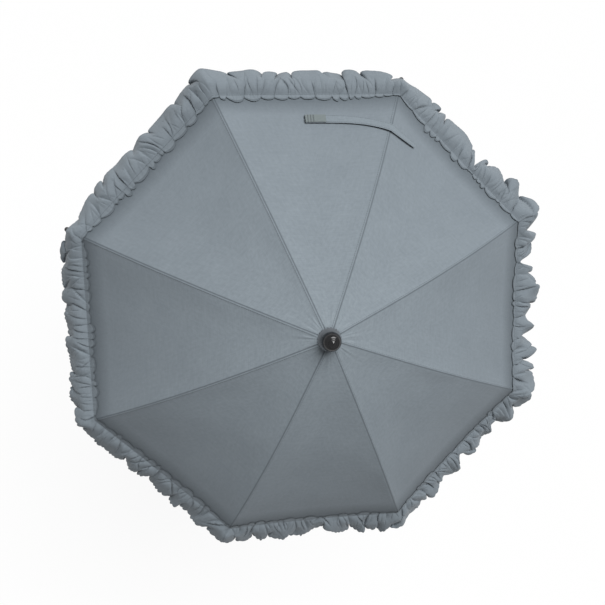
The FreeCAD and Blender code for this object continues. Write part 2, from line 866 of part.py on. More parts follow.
def frill_section(share, fold):
    """Outline across the band, with share along the hem and fold from 0, down, to 1, up."""
    on_hem = hem_middle + panel_along * (hem_half * share)
    sewn = size.cloth_thickness + 2 * size.cloth_gap - cloth_sag(size.hem_reach) * (1 - share**2)
    heading = size.frill_heading_height * (HEADING_LEAST + (1 - HEADING_LEAST) * fold)
    bend = size.frill_fold_height * (BEND_LEAST + BEND_GAIN * fold)
    heights = [
        (-size.frill_inset - size.frill_heading, heading),
        (-size.frill_inset, 0.0),
        (-size.frill_inset + size.frill_drop * BEND_PLACE, bend),
        (-size.frill_inset + size.frill_drop, size.frill_fold_height * fold),
    ]
    lower = [on_hem + hem_fall * out + hem_normal * (sewn + rise) for out, rise in heights]
    upper = [point + hem_normal * size.cloth_thickness for point in lower]
    corners = lower + upper[::-1]
    return [
        Part.LineSegment(corners[n], corners[(n + 1) % len(corners)]).toShape()
        for n in range(len(corners))
    ]


frill_reach = 1 - size.frill_end_gap / hem_half
SECTIONS_PER_FOLD = 4
FOLD_LEAST = 0.6
FOLD_DRIFT = 0.9
frill_steps = SECTIONS_PER_FOLD * FRILL_FOLDS
frill_sections = []
for step in range(frill_steps + 1):
    place = 2 * step / frill_steps - 1
    uneven = (1 + FOLD_LEAST) / 2 + (1 - FOLD_LEAST) / 2 * math.sin(FOLD_DRIFT * step)
    fade = min(1, 2 * SECTIONS_PER_FOLD * (1 - abs(place)))
    wave = (1 - math.cos(2 * math.pi * step / SECTIONS_PER_FOLD)) / 2
    frill_sections.append(frill_section(frill_reach * place, wave * uneven * fade))
frill = shaped("frill", loft(frill_sections))
around("frill", frill)

# Closing strap: webbing sewn to one seam, on its edge at the stitching and flat at its free end.
# It leads outwards at first, and most of its twist comes near its end.

STRAP_RIB = 2
FLAT_FROM = 0.75
TWIST_DELAY = 1.8
LEAD_POWER = 3
LONG_STEPS = 15
SHORT_STEPS = 5
strap_reach = size.hem_reach - size.strap_inset
strap_half_panel = strap_reach * sin(HALF_PANEL)
strap_turn = turned_about(Z_AXIS, STRAP_RIB * 360 / RIBS - HALF_PANEL)
strap_here = panel_point(strap_reach, -1)
strap_normal = cloth_normal(strap_reach)
strap_out = panel_along.cross(strap_normal).normalize()
if strap_out.z > 0:
    strap_out = -strap_out
next_panel = turned_about(Z_AXIS, -2 * HALF_PANEL)


def strap_frame(distance):
    """Middle of the webbing, its two directions and its half width, at a distance from the seam.

    The long arm has distances over 0 and the short arm has distances under 0.
    """
    along, up, out = panel_along, strap_normal, strap_out
    twist = size.strap_twist
    narrowed = 1.0
    sag = 0.0
    if distance >= 0:
        share = distance / size.strap_long_arm
        turned = min(share / FLAT_FROM, 1) ** TWIST_DELAY
        twist *= 1 - turned**2 * (3 - 2 * turned)
        sag = cloth_sag(strap_reach) * (1 - (distance / strap_half_panel - 1) ** 2)
        lead = size.strap_lead * (1 - (1 - share) ** LEAD_POWER)
    else:
        share = -distance / size.strap_short_arm
        along, up, out = (next_panel.multVec(side) for side in (along, up, out))
        narrowed = 1 - share / 2
        lead = size.strap_lead * share / 2
    if distance == 0:
        up = (strap_normal + next_panel.multVec(strap_normal)).normalize()
        out = (strap_out + next_panel.multVec(strap_out)).normalize()
    across_band = out * cos(twist) + up * sin(twist)
    through_band = up * cos(twist) - out * sin(twist)
    half_width = size.strap_width / 2 * narrowed
    edge_lift = half_width * sin(twist) + size.strap_thickness / 2 * abs(cos(twist))
    lift = edge_lift + size.cloth_thickness + 2 * size.cloth_gap - sag
    middle = strap_here + along * distance + out * lead + up * lift
    return middle, across_band, through_band, half_width


def strap_section(distance):
    middle, across_band, through_band, half_width = strap_frame(distance)
    corners = [
        middle + across_band * (half_width * a) + through_band * (size.strap_thickness / 2 * b)
        for a, b in ((-1, -1), (1, -1), (1, 1), (-1, 1))
    ]
    return [
        Part.LineSegment(corners[n], corners[(n + 1) % len(corners)]).toShape()
        for n in range(len(corners))
    ]


short_stops = [size.strap_short_arm * (step / SHORT_STEPS - 1) for step in range(SHORT_STEPS)]
long_stops = [size.strap_long_arm * step / LONG_STEPS for step in range(LONG_STEPS + 1)]
strap = document.addObject("Part::Feature", "strap")
strap.Shape = loft([strap_section(distance) for distance in short_stops + long_stops])
strap.Placement = strap_turn
piece("strap", strap)

# Hook-and-loop patch: a short tape on top of the strap's free end

patch_start, patch_across, patch_up, _ = strap_frame(size.strap_long_arm - size.strap_patch_length)
patch_end = strap_frame(size.strap_long_arm)[0]
patch_rise = patch_up * (size.strap_thickness / 2 + 2 * size.cloth_gap)
patch_half = patch_across * (size.strap_patch_width / 2)
patch_corners = [
    patch_start + patch_rise - patch_half,
    patch_end + patch_rise - patch_half,
    patch_end + patch_rise + patch_half,
    patch_start + patch_rise + patch_half,
]
patch_face = Part.Face(Part.makePolygon(patch_corners + patch_corners[:1]))
strap_patch = document.addObject("Part::Feature", "strap_patch")
strap_patch.Shape = patch_face.extrude(patch_up * size.strap_patch_thickness)
strap_patch.Placement = strap_turn
piece("strap_patch", strap_patch)

# Tilt knuckle: a fork on the upper shaft, a tongue on the lower one, a pin and a release button

KNUCKLE = "Size.knuckle_height"
FORK_WIDTH = "(Size.tongue_plate + 2 * Size.run_gap + 2 * Size.fork_ear)"
EAR_SIDE = "(Size.knuckle_radius * cos(Size.ear_angle))"
EAR_RISE = "(Size.knuckle_radius * sin(Size.ear_angle))"
SOCKET_FLOOR = "(Size.knuckle_neck - Size.fit_gap)"


def knuckle_half(name, direction, width):
    """A socket for a shaft end with a round eye towards the pivot, up (1) or down (-1) from it."""
    body = new_body(name)

    def level(expression):
        return f"({KNUCKLE} + {direction} * ({expression}))"

    near = level("Size.knuckle_radius + 2 * Size.edge_round")
    floor = level(SOCKET_FLOOR)
    end = level("Size.knuckle_neck + Size.socket_length")
    shoulder = level("Size.knuckle_neck + Size.socket_length - Size.socket_chamfer")
    revolve(
        body,
        f"{name}_socket",
        [
            ("0", near),
            ("Size.socket_radius", near),
            ("Size.socket_radius", shoulder),
            ("(Size.socket_radius - Size.socket_chamfer)", end),
            (BORE, end),
            (BORE, floor),
            ("0", floor),
        ],
    )
    plate = sketch_on(body, f"{name}_plate_outline", "XZ_Plane")
    corner = level(EAR_RISE)
    neck = level("Size.knuckle_neck - Size.edge_round")
    outline(
        plate,
        [
            (f"-{EAR_SIDE}", corner),
            (EAR_SIDE, corner),
            ("Size.socket_radius", neck),
            ("-Size.socket_radius", neck),
        ],
        {
            0: (
                "Size.knuckle_radius",
                (0, size.knuckle_height - direction * size.knuckle_radius),
            )
        },
    )
    plate_pad = pad(body, f"{name}_plate", plate, width)
    body.Tip = plate_pad
    return body, plate_pad


def pin_bore(body, name, radius, length):
    sketch = sketch_on(body, f"{name}_outline", "XZ_Plane")
    ring(sketch, "0", KNUCKLE, radius)
    feature = pocket(body, name, sketch, length)
    body.Tip = feature
    return feature


fork, fork_plate = knuckle_half("knuckle_fork", 1, FORK_WIDTH)
FORK_SIDE = f"({FORK_WIDTH} / 2)"


def rim_of_ear(edge):
    """The outer edges of the ears, which lie on the plate's two faces."""
    box = edge.BoundBox
    flat = box.YMax - box.YMin < size.fit_gap
    return flat and abs(abs(box.YMax) - worth(FORK_SIDE)) < size.fit_gap


fork_round = soften(fork, "fork_round", fork_plate, "Size.edge_round", rim_of_ear)
gap_sketch = sketch_on(fork, "gap_outline", "YZ_Plane")
GAP_HALF = "(Size.tongue_plate / 2 + Size.run_gap)"
GAP_TOP = f"({KNUCKLE} + Size.knuckle_radius + Size.edge_round)"
GAP_BOTTOM = f"({KNUCKLE} - Size.knuckle_radius - Size.edge_round)"
outline(
    gap_sketch,
    [
        (f"-{GAP_HALF}", GAP_BOTTOM),
        (GAP_HALF, GAP_BOTTOM),
        (GAP_HALF, GAP_TOP),
        (f"-{GAP_HALF}", GAP_TOP),
    ],
)
gap = pocket(fork, "fork_slot", gap_sketch, "4 * Size.knuckle_radius")
fork.Tip = gap
pin_bore(fork, "fork_bore", "Size.pin_radius + Size.fit_gap", f"2 * {FORK_WIDTH}")
recess_sketch = sketch_on(fork, "recess_outline", "XZ_Plane", FORK_SIDE)
ring(recess_sketch, "0", KNUCKLE, "Size.button_radius + Size.run_gap")
recess = pocket(fork, "button_recess", recess_sketch, "2 * Size.button_recess")
fork.Tip = recess
piece("knuckle_fork", fork)

tongue_body, tongue_plate = knuckle_half("knuckle_tongue", -1, "Size.tongue_plate")
pin_bore(tongue_body, "tongue_bore", "Size.pin_radius + 2 * Size.fit_gap", f"2 * {FORK_WIDTH}")
piece("knuckle_tongue", tongue_body)

PIN_END = f"({FORK_SIDE} - Size.button_recess - Size.run_gap)"
pin_start = -worth(PIN_END)
pin_place = turned_about(X_AXIS, -90, vector(0, pin_start, size.knuckle_height))
head_place = turned_about(X_AXIS, -90, vector(0, worth(FORK_SIDE), size.knuckle_height))
pin_shank = solid(
    "Part::Cylinder",
    "pin_shank",
    pin_place,
    Radius="Size.pin_radius",
    Height=f"{PIN_END} + {FORK_SIDE} + Size.pin_head_height / 2",
)
pin_head = solid(
    "Part::Cone",
    "pin_head",
    head_place,
    Radius1="Size.pin_head_radius",
    Radius2="Size.pin_head_radius - Size.pin_head_height / 2",
    Height="Size.pin_head_height",
)
piece("knuckle_pin", fuse("pin", pin_shank, pin_head))

button = new_body("tilt_button")
button_sketch = sketch_on(
    button,
    "button_outline",
    "XZ_Plane",
    f"{FORK_SIDE} - Size.button_recess + Size.button_stroke + Size.run_gap + Size.button_height / 2",
)
ring(button_sketch, "0", KNUCKLE, "Size.button_radius")
button_pad = pad(button, "button_disc", button_sketch, "Size.button_height")
button_front = -worth(
    f"{FORK_SIDE} - Size.button_recess + Size.button_stroke + Size.run_gap + Size.button_height"
)
soften(
    button,
    "button_round",
    button_pad,
    "Size.edge_round",
    lambda edge: abs(edge.BoundBox.YMax - button_front) < size.fit_gap,
)
piece("tilt_button", button)

# Clamp body: a hook round the pram's tube, with an arm for the screw and a socket for the shaft

JAW_INSIDE = "(Size.tube_radius + Size.pad_thickness + Size.fit_gap)"
JAW_OUTSIDE = CLAMP_TOP
ARM_IN = "(-Size.arm_inside)"
ARM_OUT = "(-Size.arm_inside - Size.arm_thickness)"
LIP_COS = "cos(Size.jaw_lip_angle)"
LIP_SIN = "sin(Size.jaw_lip_angle)"
clamp = new_body("clamp_body")
jaw_sketch = outline(
    sketch_on(clamp, "jaw_outline", "XZ_Plane"),
    [
        (f"({JAW_INSIDE} * {LIP_COS})", f"(-{JAW_INSIDE} * {LIP_SIN})"),
        ("0", JAW_INSIDE),
        (ARM_IN, JAW_INSIDE),
        (ARM_IN, "(-Size.arm_drop)"),
        (ARM_OUT, "(-Size.arm_drop)"),
        (ARM_OUT, JAW_OUTSIDE),
        ("0", JAW_OUTSIDE),
        (f"({JAW_OUTSIDE} * {LIP_COS})", f"(-{JAW_OUTSIDE} * {LIP_SIN})"),
    ],
    {
        0: (JAW_INSIDE, (worth(JAW_INSIDE), 0)),
        6: (JAW_OUTSIDE, (worth(JAW_OUTSIDE), 0)),
    },
)
jaw_pad_feature = pad(clamp, "jaw_hook", jaw_sketch, "Size.jaw_width")


def long_outer_edge(edge):
    """The two corners along Y at the arm's outer side and the edges of the lip."""
    box = edge.BoundBox
    along = box.YMax - box.YMin > size.jaw_width - size.fit_gap
    return along and box.XMin < -size.arm_inside - size.arm_thickness + size.fit_gap


soften(clamp, "arm_round", jaw_pad_feature, "2 * Size.edge_round", long_outer_edge)
SOCKET_TOP = f"({CLAMP_TOP} + Size.clamp_socket_rise)"
revolve(
    clamp,
    "clamp_socket",
    [
        ("0", f"({JAW_INSIDE} + Size.edge_round)"),
        ("(Size.clamp_socket_radius + 2 * Size.edge_round)", f"({JAW_INSIDE} + Size.edge_round)"),
        ("(Size.clamp_socket_radius + 2 * Size.edge_round)", CLAMP_TOP),
        ("Size.clamp_socket_radius", f"({CLAMP_TOP} + 4 * Size.edge_round)"),
        ("Size.clamp_socket_radius", f"({SOCKET_TOP} - Size.socket_chamfer)"),
        ("(Size.clamp_socket_radius - Size.socket_chamfer)", SOCKET_TOP),
        ("0", SOCKET_TOP),
    ],
)
boss_sketch = sketch_on(
    clamp, "boss_outline", "YZ_Plane", f"{ARM_OUT} - Size.screw_boss_length / 2"
)
ring(boss_sketch, "0", "0", "Size.screw_boss_radius")
clamp.Tip = pad(clamp, "screw_boss", boss_sketch, "Size.screw_boss_length + Size.fit_gap")
socket_sketch = sketch_on(clamp, "socket_outline", "XY_Plane", SOCKET_TOP)
ring(socket_sketch, "0", "0", BORE)
clamp.Tip = pocket(
    clamp, "shaft_socket", socket_sketch, "2 * Size.clamp_socket_rise"
)
thread_sketch = sketch_on(clamp, "thread_outline", "YZ_Plane", ARM_OUT)
ring(thread_sketch, "0", "0", "Size.screw_radius + 2 * Size.fit_gap")
clamp.Tip = pocket(
    clamp, "thread", thread_sketch, "4 * Size.arm_thickness"
)
piece("clamp_body", clamp)

# Jaw pad: a soft lining in the hook

PAD_OUTSIDE = "(Size.tube_radius + Size.pad_thickness)"
jaw_pad = new_body("jaw_pad")
pad_sketch = outline(
    sketch_on(jaw_pad, "pad_outline", "XZ_Plane"),
    [
        (f"(Size.tube_radius * {LIP_COS})", f"(-Size.tube_radius * {LIP_SIN})"),
        ("0", "Size.tube_radius"),
        ("0", PAD_OUTSIDE),
        (f"({PAD_OUTSIDE} * {LIP_COS})", f"(-{PAD_OUTSIDE} * {LIP_SIN})"),
    ],
    {
        0: ("Size.tube_radius", (size.tube_radius, 0)),
        2: (PAD_OUTSIDE, (worth(PAD_OUTSIDE), 0)),
    },
)
pad(jaw_pad, "pad_lining", pad_sketch, "Size.pad_width")
piece("jaw_pad", jaw_pad)

# Clamp shoe on the screw's nose, the screw and its knob, all along X

SHOE_FRONT = "(Size.tube_radius + Size.run_gap)"


def screw_round(name, radius, length, start):
    """A round piece along -X from a distance in front of the bore's middle."""
    place = turned_about(Y_AXIS, -90, vector(-worth(start), 0, 0))
    return solid("Part::Cylinder", name, place, Radius=radius, Height=length)


shoe_disc = screw_round("shoe_disc", "Size.shoe_radius", "Size.shoe_thickness", SHOE_FRONT)
SHOE_BACK = f"({SHOE_FRONT} + Size.shoe_thickness)"
shoe_hole = screw_round(
    "shoe_hole",
    "Size.screw_radius + Size.fit_gap",
    "2 * Size.shoe_recess",
    f"({SHOE_BACK} - Size.shoe_recess)",
)
piece("clamp_shoe", cut("shoe", shoe_disc, shoe_hole))

SCREW_NOSE = f"({SHOE_BACK} - Size.shoe_recess + Size.fit_gap)"
screw_rod = screw_round("screw_rod", "Size.screw_radius", "Size.screw_length", SCREW_NOSE)
piece("clamp_screw", screw_rod)

KNOB_FACE = f"(-({SCREW_NOSE} + Size.screw_length) + Size.knob_thickness / 2 - Size.knob_round)"
knob = new_body("clamp_knob")
knob_sketch = sketch_on(knob, "knob_outline", "YZ_Plane", KNOB_FACE)
ring(knob_sketch, "0", "0", "Size.knob_radius")
knob_disc = pad(knob, "knob_disc", knob_sketch, "Size.knob_thickness")
grip_sketch = sketch_on(knob, "grip_outline", "YZ_Plane", KNOB_FACE)
ring(grip_sketch, "Size.knob_radius + Size.knob_grip_radius / 2", "0", "Size.knob_grip_radius")
grip = pocket(knob, "grip", grip_sketch, "2 * Size.knob_thickness")
grips = repeat(knob, "grips", [grip], grip_sketch, "N_Axis", KNOB_GRIPS)
soften(
    knob,
    "knob_edges",
    grips,
    "Size.knob_round",
    lambda edge: edge.BoundBox.XMax - edge.BoundBox.XMin < size.fit_gap,
)
bore_sketch = sketch_on(knob, "knob_bore_outline", "YZ_Plane", f"{KNOB_FACE} + Size.knob_thickness / 2")
ring(bore_sketch, "0", "0", "Size.screw_radius + Size.fit_gap")
knob.Tip = pocket(
    knob, "knob_bore", bore_sketch, "2 * (Size.knob_thickness - Size.knob_round + Size.fit_gap)"
)
piece("clamp_knob", knob)

# Check and write

document.recompute()
for item in document.Objects:
    if "Invalid" in item.State or "Error" in item.State:
        raise RuntimeError(f"{item.Label} failed to build")
for item in pieces:
    if item.Shape.isNull() or not item.Shape.isValid():
        raise RuntimeError(f"{item.Label} has no valid shape")
os.makedirs("parts", exist_ok=True)
for item in pieces:
    item.Shape.exportStep(f"parts/{item.Label}.step")
    print(f"{item.Label} {len(item.Shape.Solids)} {item.Shape.Volume:.1f}")
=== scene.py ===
import math

import bpy
import numpy as np
from mathutils import Matrix, Vector


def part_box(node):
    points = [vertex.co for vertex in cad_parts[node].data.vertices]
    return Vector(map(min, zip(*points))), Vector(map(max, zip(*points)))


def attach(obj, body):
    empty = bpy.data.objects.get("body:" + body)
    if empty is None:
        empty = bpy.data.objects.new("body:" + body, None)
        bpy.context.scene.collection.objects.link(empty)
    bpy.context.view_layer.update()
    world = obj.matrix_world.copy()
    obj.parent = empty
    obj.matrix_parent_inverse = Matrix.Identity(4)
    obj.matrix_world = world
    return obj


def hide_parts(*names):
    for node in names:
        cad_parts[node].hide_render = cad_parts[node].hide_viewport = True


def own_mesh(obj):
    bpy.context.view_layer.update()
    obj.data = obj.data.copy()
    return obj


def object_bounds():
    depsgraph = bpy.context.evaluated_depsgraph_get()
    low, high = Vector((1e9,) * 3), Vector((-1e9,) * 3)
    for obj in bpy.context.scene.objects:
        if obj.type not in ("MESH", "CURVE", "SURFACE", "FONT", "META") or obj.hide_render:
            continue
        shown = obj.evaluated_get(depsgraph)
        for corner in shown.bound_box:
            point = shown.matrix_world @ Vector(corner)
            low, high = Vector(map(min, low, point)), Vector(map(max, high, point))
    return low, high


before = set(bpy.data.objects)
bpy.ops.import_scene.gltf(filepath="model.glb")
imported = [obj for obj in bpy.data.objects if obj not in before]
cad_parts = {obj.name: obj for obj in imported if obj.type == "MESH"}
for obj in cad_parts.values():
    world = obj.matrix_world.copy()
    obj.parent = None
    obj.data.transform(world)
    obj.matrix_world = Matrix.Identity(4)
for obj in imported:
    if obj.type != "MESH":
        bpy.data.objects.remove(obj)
cad_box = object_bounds()

# Clamp: a hook that grips a pram's tube, moulded in black glass-filled nylon with a fine grain.
# A rubber pad lines the hook, and a zinc-plated screw with a moulded knob pushes a shoe against
# the tube.


class Value:
    """A socket in a material's nodes, on which plain arithmetic adds Math nodes."""

    def __init__(self, finish, socket):
        self.finish = finish
        self.socket = socket

    def __add__(self, other):
        return self.finish.maths("ADD", self, other)

    def __sub__(self, other):
        return self.finish.maths("SUBTRACT", self, other)

    def __rsub__(self, other):
        return self.finish.maths("SUBTRACT", other, self)

    def __mul__(self, other):
        return self.finish.maths("MULTIPLY", self, other)

    def __truediv__(self, other):
        return self.finish.maths("DIVIDE", self, other)

    def __pow__(self, other):
        return self.finish.maths("POWER", self, other)

    def __mod__(self, other):
        return self.finish.maths("FLOORED_MODULO", self, other)

    def __lt__(self, other):
        return self.finish.maths("LESS_THAN", self, other)

    def __gt__(self, other):
        return self.finish.maths("GREATER_THAN", self, other)

    def __abs__(self):
        return self.finish.maths("ABSOLUTE", self)

    __radd__ = __add__


class Finish:
    """The nodes of a material or of the room's light."""

    def __init__(self, owner):
        owner.use_nodes = True
        self.owner = owner
        self.tree = owner.node_tree
        self.tree.nodes.clear()

    def node(self, kind, settings=None, sockets=None, output=0):
        """Adds a node, with its settings made first, and hands back one of its outputs."""
        made = self.tree.nodes.new(kind)
        for name, setting in (settings or {}).items():
            setattr(made, name, setting)
        for name, value in (sockets or {}).items():
            if isinstance(value, Value):
                self.tree.links.new(value.socket, made.inputs[name])
            else:
                made.inputs[name].default_value = value
        return Value(self, made.outputs[output]) if made.outputs else None

    def maths(self, operation, *values):
        return self.node("ShaderNodeMath", {"operation": operation}, dict(enumerate(values)))

    def tint(self, share, first, second):
        """The first colour where share is 0 and the second where it is 1."""
        return self.node("ShaderNodeMix", {"data_type": "RGBA"}, {0: share, 6: first, 7: second}, 2)

    def place(self, stretch=(1, 1, 1)):
        """Where a point is on the piece, with each side stretched."""
        here = self.node("ShaderNodeTexCoord", output="Object")
        return self.node("ShaderNodeVectorMath", {"operation": "MULTIPLY"}, {0: here, 1: stretch})

    def mottle(self, size, place, detail=2.0):
        """Cloudy spots of about that size in metres, from 0 to 1."""
        return self.node(
            "ShaderNodeTexNoise", sockets={"Vector": place, "Scale": 1 / size, "Detail": detail}
        )

    def bump(self, height, depth):
        """A surface raised by height, which runs from 0 to 1, times a depth in metres."""
        return self.node("ShaderNodeBump", sockets={"Height": height, "Distance": depth})

    def surface(self, **sockets):
        named = {name.replace("_", " "): value for name, value in sockets.items()}
        shader = self.node("ShaderNodeBsdfPrincipled", sockets=named)
        self.node("ShaderNodeOutputMaterial", sockets={"Surface": shader})
        return self.owner


def shade(red, green, blue):
    """A colour as a screen shows it, each part from 0 to 255, for a shader."""
    parts = [part / 255 for part in (red, green, blue)]
    return (*[((part + 0.055) / 1.055) ** 2.4 if part > 0.04 else part / 12.92 for part in parts], 1.0)


RUBBED_PATCH = 0.018
DUST_SPECK = 0.0021


def moulded(name, colour, rubbed_colour, roughness, grain_size, grain_depth):
    """Moulded plastic: a grain from the mould, cloudy rubbed patches and dust in the grain."""
    finish = Finish(bpy.data.materials.new(name))
    here = finish.place()
    grain = finish.mottle(grain_size, here)
    rubbed = finish.mottle(RUBBED_PATCH, here, 4.0)
    dust = finish.mottle(DUST_SPECK, here) ** 6
    return finish.surface(
        Base_Color=finish.tint(rubbed * 0.6 + dust, colour, rubbed_colour),
        Roughness=roughness + (grain - 0.5) * 0.12 + (rubbed - 0.5) * 0.2,
        Normal=finish.bump(grain, grain_depth),
    )


def dress(material, *names):
    """Gives the frame's own pieces their finish."""
    for name in names:
        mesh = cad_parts[name].data
        mesh.materials.clear()
        mesh.materials.append(material)


BLACK = shade(30, 30, 32)
RUBBED_BLACK = shade(52, 52, 55)
nylon = moulded("grained_nylon", BLACK, RUBBED_BLACK, 0.55, 0.0007, 0.00008)
dress(nylon, "clamp_body", "clamp_shoe", "clamp_knob")

rubber = moulded("pad_rubber", shade(38, 38, 38), shade(66, 65, 62), 0.85, 0.0004, 0.00012)
dress(rubber, "jaw_pad")

DRAWN_LINE = 0.00035
DULL_PATCH = 0.009


def plated(name, colour, dull_colour, roughness, stretch, scratch_depth):
    """Plated steel with drawing lines along the way that it was worked."""
    finish = Finish(bpy.data.materials.new(name))
    lines = finish.mottle(DRAWN_LINE, finish.place(stretch), 3.0)
    cloud = finish.mottle(DULL_PATCH, finish.place(), 4.0)
    return finish.surface(
        Base_Color=finish.tint(cloud * 0.7 + lines * 0.3, colour, dull_colour),
        Metallic=1.0,
        Roughness=roughness + (lines - 0.5) * 0.16 + (cloud - 0.5) * 0.14,
        Normal=finish.bump(lines, scratch_depth),
    )


EVERY_WAY = (1, 1, 1)
zinc = plated("bright_zinc", shade(214, 214, 212), shade(168, 167, 162), 0.3, EVERY_WAY, 0.00001)
dress(zinc, "clamp_screw")

# Shaft: two drawn steel tubes, nickel-plated. The lower one stands in the clamp's socket and the
# upper one carries the frame.

ALONG_TUBE = (1, 1, 0.02)
nickel = plated("plated_tube", shade(206, 207, 210), shade(160, 161, 164), 0.2, ALONG_TUBE, 0.000006)
dress(nickel, "shaft_lower", "shaft_upper")

# Tilt knuckle: a fork on the upper tube and a tongue on the lower one, moulded in satin black nylon.
# They turn on a zinc-plated pin, and a grey press button in the fork frees them.

satin = moulded("satin_nylon", BLACK, RUBBED_BLACK, 0.42, 0.0005, 0.00003)
dress(satin, "knuckle_fork", "knuckle_tongue")
dress(zinc, "knuckle_pin")
button_plastic = moulded("button_plastic", shade(70, 72, 75), shade(92, 94, 97), 0.4, 0.0004, 0.00003)
dress(button_plastic, "tilt_button")

# Frame: eight round wire ribs hang in the crown's slots and eight channel stretchers push them out
# from the runner. Crown, runner and tips are moulded, the wires and channels black enamelled.

ORANGE_PEEL = 0.0011
WORN_PATCH = 0.012
CHIP = 0.0016
CHIPPED_ABOVE = 0.72


def enamelled(name, colour, worn_colour):
    """Enamel on steel: a faint orange peel, dull patches and small chips."""
    finish = Finish(bpy.data.materials.new(name))
    here = finish.place()
    peel = finish.mottle(ORANGE_PEEL, here)
    worn = finish.mottle(WORN_PATCH, here, 4.0)
    chips = finish.mottle(CHIP, here, 1.0) > CHIPPED_ABOVE
    return finish.surface(
        Base_Color=finish.tint(worn * 0.5 + chips * 0.5, colour, worn_colour),
        Roughness=0.28 + (worn - 0.5) * 0.22 + chips * 0.2,
        Coat_Weight=0.3,
        Normal=finish.bump(peel, 0.00002),
    )


RIBS = 8
every_rib = range(1, RIBS + 1)
enamel = enamelled("black_enamel", shade(36, 36, 38), shade(70, 70, 72))
dress(enamel, *[f"rib_{rib}" for rib in every_rib])
dress(enamel, *[f"stretcher_{rib}" for rib in every_rib])
dress(satin, "crown", "crown_cap", "runner", *[f"rib_tip_{rib}" for rib in every_rib])
dress(zinc, "runner_catch")

# Canopy: eight cloth panels sewn edge to edge into one sheet, stretched over the ribs and slack
# between them. It is made here in a ring on the crown's cap and three bands of sixteen pieces, each
# from a rib and its seam to the middle of the panel on one side, and each hung on its rib.

RIB_TURN = 2 * math.pi / RIBS
HALF_TURN = RIB_TURN / 2
CROWN_HEIGHT = 0.700
PIVOT_CIRCLE = 0.012
TIP_REACH = 0.340
RIB_START_SLOPE = math.radians(11)
RIB_END_SLOPE = math.radians(35)
RIB_BEND = (TIP_REACH - PIVOT_CIRCLE) / (math.sin(RIB_END_SLOPE) - math.sin(RIB_START_SLOPE))
CLOTH_OVER_RIB = 0.00165
CLOTH_SEAT = 0.70295
CLOTH_THICKNESS = 0.0008
CLOTH_HOLE = 0.007
SKIRT_START = 0.0173
CROWN_BLEND = 0.022
HEM_REACH = 0.329
HEM_SAG = 0.0055
HEM_SIDE = 2 * HEM_REACH * math.sin(HALF_TURN)
UP = np.array((0.0, 0.0, 1.0))


def smooth_step(start, end, value):
    """0 up to start, 1 from end, and a soft rise between."""
    share = np.clip((value - start) / (end - start), 0, 1)
    return share**2 * (3 - 2 * share)


def cloth_over_rib(radius):
    """Height of the cloth's underside where it lies on a rib's arc."""
    slope = np.arcsin(math.sin(RIB_START_SLOPE) + (radius - PIVOT_CIRCLE) / RIB_BEND)
    on_rib = CROWN_HEIGHT + RIB_BEND * (np.cos(slope) - math.cos(RIB_START_SLOPE))
    return on_rib + CLOTH_OVER_RIB / np.cos(slope)


def cloth_height(radius):
    """Height of the cloth's underside along a rib: flat on the cap, then down over the rib."""
    over_cap = CLOTH_SEAT - cloth_over_rib(np.array(SKIRT_START))
    skirt = cloth_over_rib(radius) + over_cap * np.exp((SKIRT_START - radius) / CROWN_BLEND)
    return np.where(radius <= SKIRT_START, CLOTH_SEAT, skirt)


def panel_sides(panel):
    """Outward and sideways directions of numbered panels."""
    turn = RIB_TURN * np.asarray(panel, float)
    flat = np.zeros_like(turn)
    out = np.stack([np.cos(turn), np.sin(turn), flat], -1)
    along = np.stack([-np.sin(turn), np.cos(turn), flat], -1)
    return out, along


def panel_fall(radius):
    """How steeply a panel falls outwards in its middle."""
    step = 0.0003
    drop = cloth_height(radius - step) - cloth_height(radius + step)
    return drop / (2 * step * math.cos(HALF_TURN))


def over_panel(panel, radius, share, lift):
    """Points over panels: share is -1 on a panel's first rib and 1 on its second."""
    out, along = panel_sides(panel)
    fall = panel_fall(radius)
    length = np.hypot(1, fall)
    slack = np.clip(radius - SKIRT_START, 0, None) / (HEM_REACH - SKIRT_START)
    rise = lift - HEM_SAG * slack * (1 - share**2)
    outwards = radius * math.cos(HALF_TURN) + rise * fall / length
    sideways = radius * math.sin(HALF_TURN) * share
    height = cloth_height(radius) + rise / length
    return outwards[..., None] * out + sideways[..., None] * along + height[..., None] * UP


def cloth_normals(points):
    """Normals of a grid of points that closes on itself along its columns."""
    along = np.roll(points, -1, 1) - np.roll(points, 1, 1)
    across = np.gradient(points, axis=0)
    normal = np.cross(across, along)
    return normal / np.linalg.norm(normal, axis=-1, keepdims=True)


def sewn_sheet(name, upper, lower, normals, material, **places):
    """A closed thin sheet between two grids of points, with named places on it as UVs."""
    rows, columns = upper.shape[:2]
    count = rows * columns
    number = np.arange(count).reshape(rows, columns)
    corners = number[:-1, :-1], number[1:, :-1], number[1:, 1:], number[:-1, 1:]
    top = np.stack(corners, -1).reshape(-1, 4)
    bottom = top[:, ::-1] + count
    rim = np.concatenate([number[0, :-1], number[:-1, -1], number[-1, :0:-1], number[:0:-1, 0]])
    after = np.roll(rim, -1)
    edge = np.stack([rim, after, after + count, rim + count], -1)
    faces = np.concatenate([top, bottom, edge])
    points = np.concatenate([upper.reshape(-1, 3), lower.reshape(-1, 3)])
    mesh = bpy.data.meshes.new(name)
    mesh.from_pydata(points.tolist(), [], faces.tolist())
    mesh.polygons.foreach_set("use_smooth", np.ones(len(faces), bool))
    for layer, place in places.items():
        both = np.concatenate([place.reshape(-1, 2)] * 2)
        mesh.uv_layers.new(name=layer).data.foreach_set("uv", both[faces.ravel()].ravel())
    outward = np.concatenate([normals.reshape(-1, 3), -normals.reshape(-1, 3)])
    mesh.normals_split_custom_set_from_vertices(outward.tolist())
    mesh.materials.append(material)
    sheet = bpy.data.objects.new(name, mesh)
    bpy.context.scene.collection.objects.link(sheet)
    return sheet


